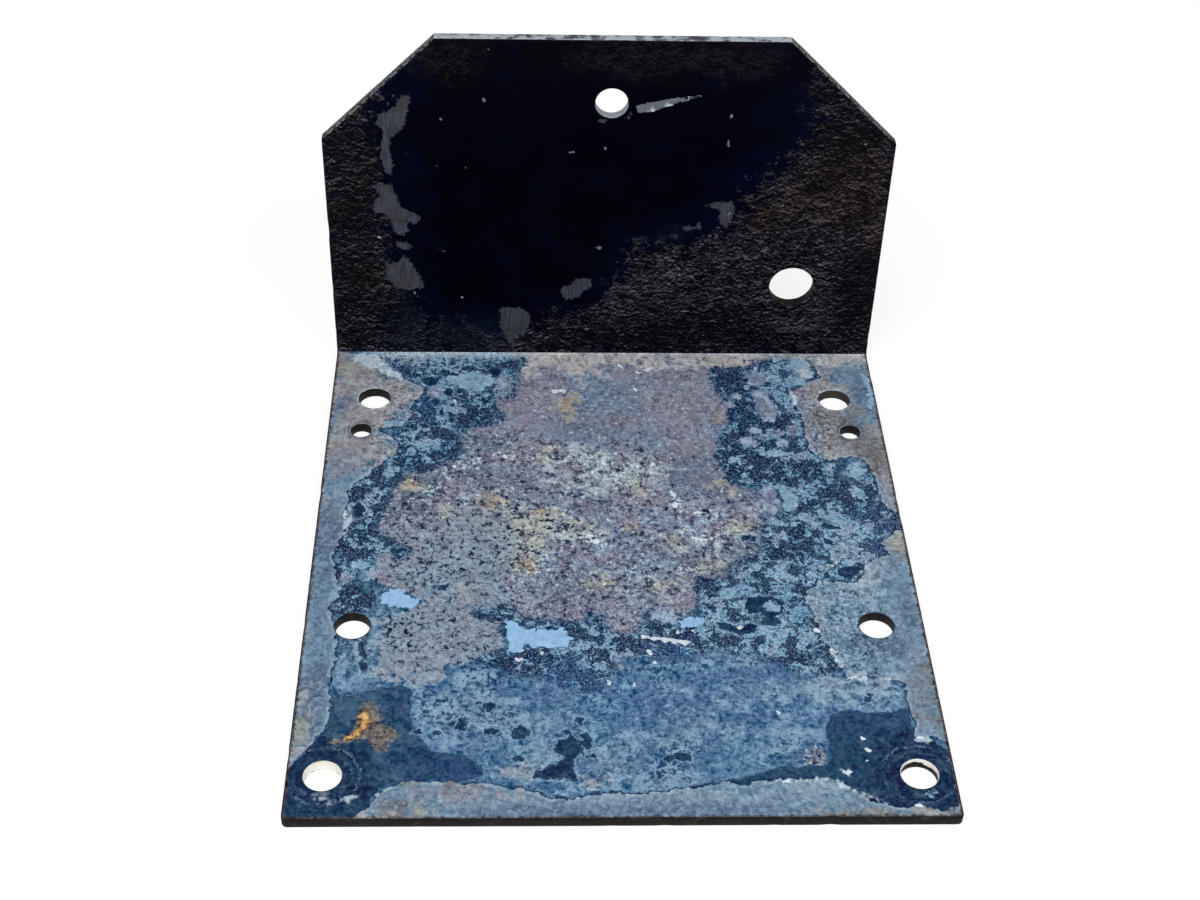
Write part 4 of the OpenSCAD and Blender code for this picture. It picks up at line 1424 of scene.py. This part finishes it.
        solid = self.add(self.field("navy_solid"), self.swings(drift=2.4, blob=1.6, spot=0.8))
        whole = self.stained(tints.navy_blue, ("slaty", tints.navy_pale, 0.8, 2.0),
                             ("deep_blue", tints.deep_navy, 0.8, 3.4))
        close = self.step(self.add(self.field("front_bolts_gap"), self.swing(self.drift, 12.0)), 9.0, 3.0)
        whole = self.mix(self.times(close, 0.9), whole, tints.navy)
        self.lay(self.step(solid, -0.1, 0.1), whole, 0.36, 0.4)
        isle = self.add(self.field("island"), self.times(self.torn, 0.75))
        self.coat(self.times(self.step(isle, -0.55, -0.2), 0.4), tints.flake)
        paint = self.mix(self.times(self.hue, 0.4), tints.navy, tints.navy_blue)
        self.lay(self.step(isle, -0.08, 0.08), paint, 0.34, 0.4)

    def border(self):
        """The smooth border, with painted shade where it ends and along the edge, and a painted highlight and
        dust at the fold.
        """
        tints = self.tints
        tone = self.add(self.cloud, self.swings(drift=0.6, blob=0.5))
        ground = self.stained(
            self.mix(self.step(tone, 0.38, 0.62), tints.border, tints.border_grey),
            ("border_brown", tints.border_brown, 0.85, 2.0), ("border_lilac", tints.border_lilac, 0.8, 1.5),
            ("border_blue", tints.border_blue, 0.8, 1.2), ("border_dusk", tints.border_dusk, 0.8, 2.4),
            ("greened", tints.steel_green, 0.6, 1.5), ("pale_tan", tints.pale_tan, 0.8, 1.6),
            ("yellowed", tints.yellowed, 0.6, 1.4), ("tawny", tints.tawny, 0.7, 0.9))
        clouds = self.swings(drift=4.0, blob=7.0, spot=6.0)
        ground = self.mix(self.times(self.step(clouds, 0.1, 1.4), 0.2), ground, tints.flake)
        ground = self.mix(self.times(self.step(clouds, -0.1, -1.4), 0.2), ground, tints.navy_pale)
        depth = self.add(self.field("border"), self.swings(drift=1.8, blob=1.4, spot=0.5))
        strength = self.add(self.times(self.step(self.drift, 0.4, 0.52), 0.4), 0.55)
        # Painted shadow of the paint's edge: a dark line just outside the border
        self.coat(self.times(self.step(depth, -0.55, -0.2), strength), tints.navy)
        on_border = self.step(depth, -0.07, 0.07)
        inland = self.step(self.field("edge_gap"), 5.0, 13.0)
        self.lay(on_border, ground, 0.45, self.add(self.times(inland, 0.4), 0.5))
        pale_edge = self.times(on_border, self.step(depth, 0.7, 0.2), self.step(self.drift, 0.56, 0.44))
        self.coat(self.times(pale_edge, 0.4), tints.whitened)
        streaked = self.mask("whitened", self.times(self.ragged, 0.35), 0.4)
        self.coat(self.times(streaked, 0.85), tints.whitened, 0.5)
        # A pale band along the fold: a painted highlight on the bend, white, turning to tan dust further
        # across
        fold_highlight_and_dust = self.step(self.add(self.along, self.times(self.torn, 0.9)), *FOLD_HIGHLIGHT_AND_DUST)
        dust = self.mix(self.step(self.across, *TAN_DUST), tints.whitened, tints.pale_tan)
        self.coat(self.times(fold_highlight_and_dust, self.step(self.across, *FOLD_BAND_START), 0.6), dust)
        # Painted shade: a dark brown line where the top falls away to the cut edges
        edge_shade_line = self.step(self.add(self.field("edge_gap"), self.times(self.torn, 0.25)), 0.85, 0.3)
        self.coat(self.times(edge_shade_line, 0.85), tints.edge_brown)

    def small_marks(self):
        """Faded and bare patches, flecks, scratches and rust."""
        tints = self.tints
        faded = self.mix(self.step(self.drift, 0.42, 0.58), tints.lilac, tints.flake_lilac)
        for name, tint, edge, crisp, roughness, grit in (
                ("lilac", faded, 0.9, 0.3, 0.5, 0.6), ("bare_dull", tints.bare_dull, 0.7, 0.15, 0.45, 0.6),
                ("bare", tints.bare, 0.6, 0.08, 0.38, 0.3), ("fleck", tints.fleck, 0.3, 0.1, 0.5, 0.5),
                ("scratch", tints.fleck, 0.15, 0.06, 0.5, 0.4)):
            depth = self.add(self.field(name), self.times(self.torn, edge))
            # Painted shadow of the paint's edge: a dark line round each mark
            self.coat(self.times(self.step(depth, -0.35, -0.1), 0.35), tints.navy)
            self.lay(self.step(depth, -crisp, crisp), tint, roughness, grit)
        self.lay(self.times(self.mask("rust_brown", self.torn, 0.5), 0.85), tints.rust_brown, 0.75, 0.8)
        core = self.add(self.field("rust"), self.times(self.torn, 0.4))
        self.coat(self.times(self.step(core, -0.5, -0.1), 0.7), tints.rust_dark)
        rusty = self.mix(self.step(core, 0.1, 0.5), tints.rust_orange, tints.rust)
        self.lay(self.step(core, -0.15, 0.15), rusty, 0.8, 0.7)

    def hole_rings(self):
        """Rings that screw heads and washers have pressed into the paint."""
        tints = self.tints
        wobble = self.times(self.torn, 0.2)
        rim = self.field("hole_gap")
        screw = self.add(self.field("screws_gap"), wobble)
        bolt = self.add(self.field("rear_bolts_gap"), wobble)
        washer = self.add(self.field("front_bolts_gap"), self.times(self.torn, 0.6))
        dusty = self.times(self.step(self.drift, 0.44, 0.52), 0.7)
        dulled = self.times(self.step(self.drift, 0.48, 0.56), 0.6)
        flaked = self.times(self.step(self.blob, 0.55, 0.45), 0.35)
        for gap, start, end, soft, share, tint in (
                (rim, 0.0, 0.28, 0.08, 0.6, tints.pit),
                (screw, 0.14, 0.38, 0.08, 0.6, tints.border_grey),
                (screw, 0.46, 0.8, 0.1, 0.6, tints.pit),
                (screw, 1.05, 1.35, 0.12, 0.4, tints.rust_brown),
                (bolt, 0.2, 0.5, 0.08, dusty, tints.whitened),
                (washer, 0.2, 1.3, 0.2, 0.7, tints.navy),
                (washer, 1.5, 1.9, 0.12, dulled, tints.navy_pale),
                (washer, 2.1, 2.5, 0.12, 0.6, tints.navy),
                (washer, 2.8, 3.1, 0.12, flaked, tints.flake)):
            past_start = self.step(gap, start - soft, start + soft)
            before_end = self.step(gap, end + soft, end - soft)
            self.coat(self.times(past_start, before_end, share), tint)

    def textured(self):
        """Light and dark grain over everything; the finest shows on bare steel, and hardly on paint."""
        coarse = self.swings(drift=0.6, blob=1.6, spot=2.2)
        # The slope term is painted light and shade: one side of each grain lighter, the other darker
        fine = self.add(self.swings(crumb=1.8, grain=1.4), self.times(self.slope(0.95, 41.0), 2.0))
        grain = self.times(self.add(coarse, self.times(fine, self.grit, 1.2)), self.grit)
        self.shade(self.maths("MAXIMUM", self.add(self.times(grain, 0.5), 1.0), 0.35))
        self.brighten(self.times(grain, 0.11))
        self.height = self.add(self.times(self.crumb, 0.035), self.times(self.spot, 0.03))


def black_upright(tints):
    """The front of the upright: black paint, part glossy and part wrinkled, with chips."""
    f = Finish("black_upright", 0.03, "XZ")
    drift = f.noise(0.12, 2, shift=17.0)
    mottle = f.noise(0.4, 3)
    crumb = f.noise(1.3, 2, shift=5.0)
    streaks = f.noise(1.6, 2, stretch=(1.4, 0.12, 1.0))
    # Painted wrinkles: noise lit from one side gives painted highlights on crests and painted shade in hollows
    broad = f.lit(0.62, (0.9, 1.0, 1.0), 0.35, 31.0)
    narrow = f.lit(1.3, (0.9, 1.0, 1.0), 0.22, 47.0)
    wrinkle = f.add(broad, f.times(narrow, 1.1))
    ragged = f.add(f.swing(mottle, 8.0), f.swing(crumb, 4.0))
    torn = f.add(f.swing(crumb, 3.0), f.swing(streaks, 1.0))
    sheen = f.step(f.add(f.swing(drift, 3.0), f.times(f.field("rough"), 0.1)), -1.3, 0.2)
    f.colour = f.mix(sheen, tints.gloss, tints.gloss_blue)
    f.roughness = 0.24
    rough = f.mask("rough", f.times(ragged, 1.4), 2.0)
    red = f.times(f.mask("red", f.times(ragged, 1.2), 4.0), 0.9)
    sooty = f.mask("sooty", f.times(ragged, 1.2), 4.0)
    relief = f.add(f.times(wrinkle, 1.2), f.swing(mottle, 0.5), f.swing(drift, 0.4), f.swing(crumb, 0.5),
                   f.times(sooty, -0.13))
    raised = f.maths("POWER", f.step(relief, -0.33, 0.56), 2.6)
    shaded_hollow = f.mix(f.times(red, 0.4), tints.pitch, tints.edge_dark)
    lit_crest = f.mix(red, tints.crest_highlight, tints.rough_red)
    f.coat(f.times(f.mask("scuffed", ragged, 3.5), f.step(relief, -0.3, 0.5), 0.15), tints.rough_red)
    f.coat(rough, f.mix(raised, shaded_hollow, lit_crest), 0.55)
    f.coat(f.times(f.mask("teal", ragged, 3.0), 0.35), tints.teal)
    chip = f.mask("chip", f.times(torn, 0.5), 0.12)
    scoured = f.mix(f.times(f.step(streaks, 0.4, 0.65), 0.5), tints.chip, tints.rough)
    rusting = f.step(f.add(mottle, f.swing(drift, 1.0)), 0.5, 0.62)
    f.coat(chip, f.mix(f.times(rusting, 0.5), scoured, tints.chip_brown), 0.5)
    speck = f.step(f.add(f.field("fleck"), f.times(torn, 0.25)), 0.0, 0.15)
    f.coat(speck, f.mix(f.step(mottle, 0.55, 0.75), tints.fleck_dim, tints.fleck), 0.5)
    f.height = f.add(f.times(crumb, rough, 0.12), f.times(chip, -0.04))
    return f.finish()


def painted_outside(tints):
    """The underside and the back: wrinkled black paint, chipped here and there and rusty along its edges."""
    f = Finish("painted_outside", 0.05)
    drift = f.noise(0.07, 3, shift=13.0)
    mottle = f.noise(0.3, 4)
    crumb = f.noise(1.3, 3, shift=5.0)
    wrinkle = f.noise(0.75, 3)
    ragged = f.add(f.swing(mottle, 7.0), f.swing(crumb, 3.0))
    relief = f.add(f.swing(wrinkle, 1.0), f.swing(crumb, 0.8), f.swing(mottle, 0.6))
    raised = f.maths("POWER", f.step(relief, -0.36, 0.52), 2.6)
    # Painted highlights on the crests of the wrinkles, and painted shade in their hollows
    patches = f.add(drift, f.swing(mottle, 0.3), f.swing(crumb, 0.12))
    lit_crest = f.mix(f.step(patches, 0.42, 0.6), tints.crest_highlight, tints.rough_red)
    f.colour = f.mix(raised, tints.pitch, lit_crest)
    f.roughness = 0.5
    chip = f.step(patches, 0.655, 0.67)
    f.coat(chip, f.mix(f.step(crumb, 0.4, 0.6), tints.chip, tints.chip_brown), 0.5)
    near_edge = f.step(f.add(f.field("edge_gap"), ragged), 1.1, 0.3)
    near_hole = f.step(f.add(f.field("hole_gap"), f.times(ragged, 0.8)), 1.2, 0.6)
    worn = f.maths("MAXIMUM", near_edge, near_hole)
    f.coat(f.times(worn, 0.85), f.mix(f.step(mottle, 0.42, 0.58), tints.chip, tints.edge_brown), 0.6)
    f.height = f.add(f.times(wrinkle, 0.08), f.times(chip, -0.05))
    return f.finish()


def worn_edge(tints):
    """Cut edges and hole walls: dark paint, painted highlights on top, slants and top hole, and walls rubbed
    bare.
    """
    f = Finish("worn_edge", 0.15)
    mottle = f.noise(0.35, 4)
    crumb = f.noise(1.6, 3, shift=5.0)
    lines = f.noise(1.2, 2, stretch=(0.15, 0.15, 2.0))
    f.colour = f.mix(f.step(lines, 0.5, 0.75), tints.edge_dark, tints.rough)
    f.roughness = 0.6
    parts = f.axes(f.place)
    height = parts["Z"]
    off_centre = f.maths("ABSOLUTE", parts["X"])
    # Painted highlight along the top edge, mixed with chipped primer
    highlight_from = HIGH[2] - TOP_HIGHLIGHT
    on_top = f.step(f.add(height, f.swing(mottle, 0.3)), highlight_from, highlight_from + TOP_HIGHLIGHT / 2)
    f.coat(on_top, f.mix(f.step(mottle, 0.45, 0.6), tints.edge_highlight, tints.chip), 0.4)
    # Painted highlights on the slants and low on the wall of the top hole
    on_slants = f.times(f.step(height, *SLANT_HEIGHTS), f.step(off_centre, *SLANT_SIDES))
    in_top_hole = f.times(f.step(height, *TOP_HOLE_HIGH), f.step(height, *TOP_HOLE_LOW),
                          f.step(off_centre, *TOP_HOLE_SIDES))
    f.coat(f.times(on_slants, f.step(crumb, 0.4, 0.6), 0.4), tints.edge_highlight, 0.4)
    f.coat(f.times(in_top_hole, 0.7), tints.edge_highlight, 0.4)
    f.coat(f.times(f.step(f.add(crumb, f.swing(mottle, 0.6)), 0.6, 0.75), 0.6), tints.edge_brown, 0.7)
    f.coat(f.times(f.mask("dusty_wall", f.swing(crumb, 1.2), 0.2), 0.85), tints.dusty, 0.8)
    rubbed = f.mix(f.times(f.step(lines, 0.56, 0.66), 0.6), tints.rubbed, tints.olive)
    f.coat(f.mask("bare_wall", f.swing(mottle, 3.0), 0.1), rubbed, 0.35)
    f.height = f.times(crumb, 0.06)
    return f.finish()


class BRACKET_OT_folded_sheet(bpy.types.Operator):
    """Make the bracket as one folded sheet with worn paint"""

    bl_idname = "bracket.folded_sheet"
    bl_label = "Folded sheet"

    def execute(self, context):
        """Lays out the flat sheet, folds it, hides the imported part and hangs the sheet on its body."""
        sizes, tints = context.scene.bracket_sizes, context.scene.bracket_colours
        finishes = [StainedBase(tints).finish(), black_upright(tints), painted_outside(tints),
                    worn_edge(tints)]
        blank = Blank(sizes)
        flat = SheetMesh(blank)
        flat.build()
        flat_object = bpy.data.objects.new("flat_sheet", flat.make("flat_sheet"))
        context.scene.collection.objects.link(flat_object)
        tree = FoldTree("fold_sheet", finishes)
        folder = flat_object.modifiers.new("Fold", "NODES")
        folder.node_group = tree.tree
        values = {
            "Fold Start": blank.fold_start * MM, "Outside Radius": blank.fold_outside * MM,
            "Middle Radius": blank.fold_middle * MM, "Fold Angle": math.pi / 2,
            "Wrinkle": sizes.wrinkle, "Bow": sizes.bow,
        }
        for size, identifier in tree.identifiers.items():
            folder[identifier] = values[size]
        graph = context.evaluated_depsgraph_get()
        evaluated = flat_object.evaluated_get(graph)
        folded = bpy.data.meshes.new_from_object(evaluated, preserve_all_data_layers=True, depsgraph=graph)
        if len(folded.polygons) != len(flat.faces):
            raise RuntimeError("the folded sheet lost faces")
        folded.shade_smooth()
        piece = bpy.data.objects.new("bracket_sheet", folded)
        context.scene.collection.objects.link(piece)
        bpy.data.objects.remove(flat_object)
        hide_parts(NODE)
        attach(piece, BODY)
        return {"FINISHED"}


# The floor: half its width and its height in metres, scale and tone of its grain, and its own faint light
FLOOR_HALF = 3.0
FLOOR_HEIGHT = -0.00005
FLOOR_GRAIN = 6.0
FLOOR_GRAIN_TONE = 0.985
FLOOR_GLOW = 1.1
FLOOR_GLOW_SHARE = 0.7
# The lamps: their widths and places in metres, and the place that they light
KEY_SIZE = 0.7
KEY_PLACE = (-0.3, -0.55, 0.85)
FILL_SIZE = 0.6
FILL_PLACE = (0.55, -0.6, 0.7)
LAMP_AIM = (0, 0, 0.02)
# The camera, in millimetres and degrees
CAMERA_PLACE = (-16.4, -269.28, 256.57)
CAMERA_AIM = (-2.59, 8.6, 20.0)
CAMERA_ROLL = 2.0


def floor_finish(floor):
    """A pale floor that looks evenly lit to the camera and to reflections, and still shows a soft shadow."""
    material = bpy.data.materials.new("pale_floor")
    material.use_nodes = True
    w = NodeWriter(material.node_tree)
    w.tree.nodes.clear()
    diffuse = w.node("ShaderNodeBsdfDiffuse")
    grain = w.node("ShaderNodeTexNoise")
    grain.inputs["Scale"].default_value = FLOOR_GRAIN
    tone = w.node("ShaderNodeMix", data_type="RGBA")
    w.join(grain.outputs[0], tone.inputs[0])
    w.join((*floor, 1.0), tone.inputs[6])
    w.join((*[value * FLOOR_GRAIN_TONE for value in floor], 1.0), tone.inputs[7])
    w.join(tone.outputs[2], diffuse.inputs["Color"])
    glow = w.node("ShaderNodeEmission")
    glow.inputs["Strength"].default_value = FLOOR_GLOW
    path = w.node("ShaderNodeLightPath").outputs
    direct = w.maths("MAXIMUM", path["Is Camera Ray"], path["Is Glossy Ray"])
    direct = w.maths("MAXIMUM", direct, path["Is Transmission Ray"])
    both = w.node("ShaderNodeMixShader")
    w.join(w.times(direct, FLOOR_GLOW_SHARE), both.inputs[0])
    w.join(diffuse.outputs[0], both.inputs[1])
    w.join(glow.outputs[0], both.inputs[2])
    w.join(both.outputs[0], w.node("ShaderNodeOutputMaterial").inputs["Surface"])
    return material


def add_lamp(scene, name, watts, size, place, aim):
    """A large soft lamp at a place in metres, turned towards another."""
    lamp = bpy.data.lights.new(name, "AREA")
    lamp.energy = watts
    lamp.size = size
    holder = bpy.data.objects.new(name, lamp)
    holder.location = place
    holder.rotation_euler = (Vector(aim) - Vector(place)).to_track_quat("-Z", "Y").to_euler()
    scene.collection.objects.link(holder)


def add_floor(scene, tint):
    """A wide, pale floor just under the bracket."""
    mesh = bpy.data.meshes.new("floor")
    half = FLOOR_HALF
    corners = ((-half, -half), (half, -half), (half, half), (-half, half))
    mesh.from_pydata([(x, y, FLOOR_HEIGHT) for x, y in corners], [], [(0, 1, 2, 3)])
    mesh.materials.append(floor_finish(tint))
    floor = bpy.data.objects.new("floor", mesh)
    scene.collection.objects.link(floor)


def add_camera(scene, lens):
    """The camera, placed as the one that took the photo was."""
    camera = bpy.data.cameras.new("camera")
    camera.sensor_fit = "HORIZONTAL"
    camera.sensor_width = 36.0
    camera.lens = lens
    camera.clip_start = 0.01
    holder = bpy.data.objects.new("camera", camera)
    place = Vector(CAMERA_PLACE) * MM
    aim = Vector(CAMERA_AIM) * MM
    level = (aim - place).to_track_quat("-Z", "Y").to_matrix().to_4x4()
    roll = Matrix.Rotation(math.radians(CAMERA_ROLL), 4, "Z")
    holder.matrix_world = Matrix.Translation(place) @ level @ roll
    scene.collection.objects.link(holder)
    scene.camera = holder


class BRACKET_OT_stage(bpy.types.Operator):
    """Set up the floor, the light and the camera"""

    bl_idname = "bracket.stage"
    bl_label = "Stage"

    def execute(self, context):
        """Makes a pale floor, even light from all round with two large lamps, and the camera."""
        scene = context.scene
        stage = scene.bracket_stage
        add_floor(scene, stage.floor)
        world = bpy.data.worlds.new("even_light")
        world.use_nodes = True
        background = world.node_tree.nodes["Background"]
        background.inputs["Color"].default_value = (1.0, 1.0, 1.0, 1.0)
        background.inputs["Strength"].default_value = stage.sky
        scene.world = world
        add_lamp(scene, "key", stage.key, KEY_SIZE, KEY_PLACE, LAMP_AIM)
        add_lamp(scene, "fill", stage.fill, FILL_SIZE, FILL_PLACE, LAMP_AIM)
        add_camera(scene, stage.lens)
        scene.view_settings.view_transform = "Standard"
        return {"FINISHED"}


class BRACKET_PT_panel(bpy.types.Panel):
    """Makes the bracket and its stage, and shows what can be changed"""

    bl_idname = "BRACKET_PT_panel"
    bl_label = "Speaker bracket"
    bl_space_type = "VIEW_3D"
    bl_region_type = "UI"
    bl_category = "Bracket"

    def draw(self, context):
        """Lists the operators, then every size and colour."""
        for operator in (BRACKET_OT_folded_sheet, BRACKET_OT_stage):
            self.layout.operator(operator.bl_idname)
        scene = context.scene
        for group in (scene.bracket_sizes, scene.bracket_colours, scene.bracket_stage):
            box = self.layout.box()
            for name in group.__annotations__:
                box.prop(group, name)


CLASSES = (BracketSizes, BracketColours, BracketStage, BRACKET_OT_folded_sheet, BRACKET_OT_stage,
           BRACKET_PT_panel)


def register():
    """Adds the classes and the scene's settings."""
    for item in CLASSES:
        bpy.utils.register_class(item)
    bpy.types.Scene.bracket_sizes = PointerProperty(type=BracketSizes)
    bpy.types.Scene.bracket_colours = PointerProperty(type=BracketColours)
    bpy.types.Scene.bracket_stage = PointerProperty(type=BracketStage)


def unregister():
    """Takes the settings and the classes away again."""
    del bpy.types.Scene.bracket_sizes
    del bpy.types.Scene.bracket_colours
    del bpy.types.Scene.bracket_stage
    for item in reversed(CLASSES):
        bpy.utils.unregister_class(item)


def main():
    """Makes everything."""
    register()
    bpy.ops.bracket.folded_sheet()
    bpy.ops.bracket.stage()


if __name__ == "__main__":
    main()
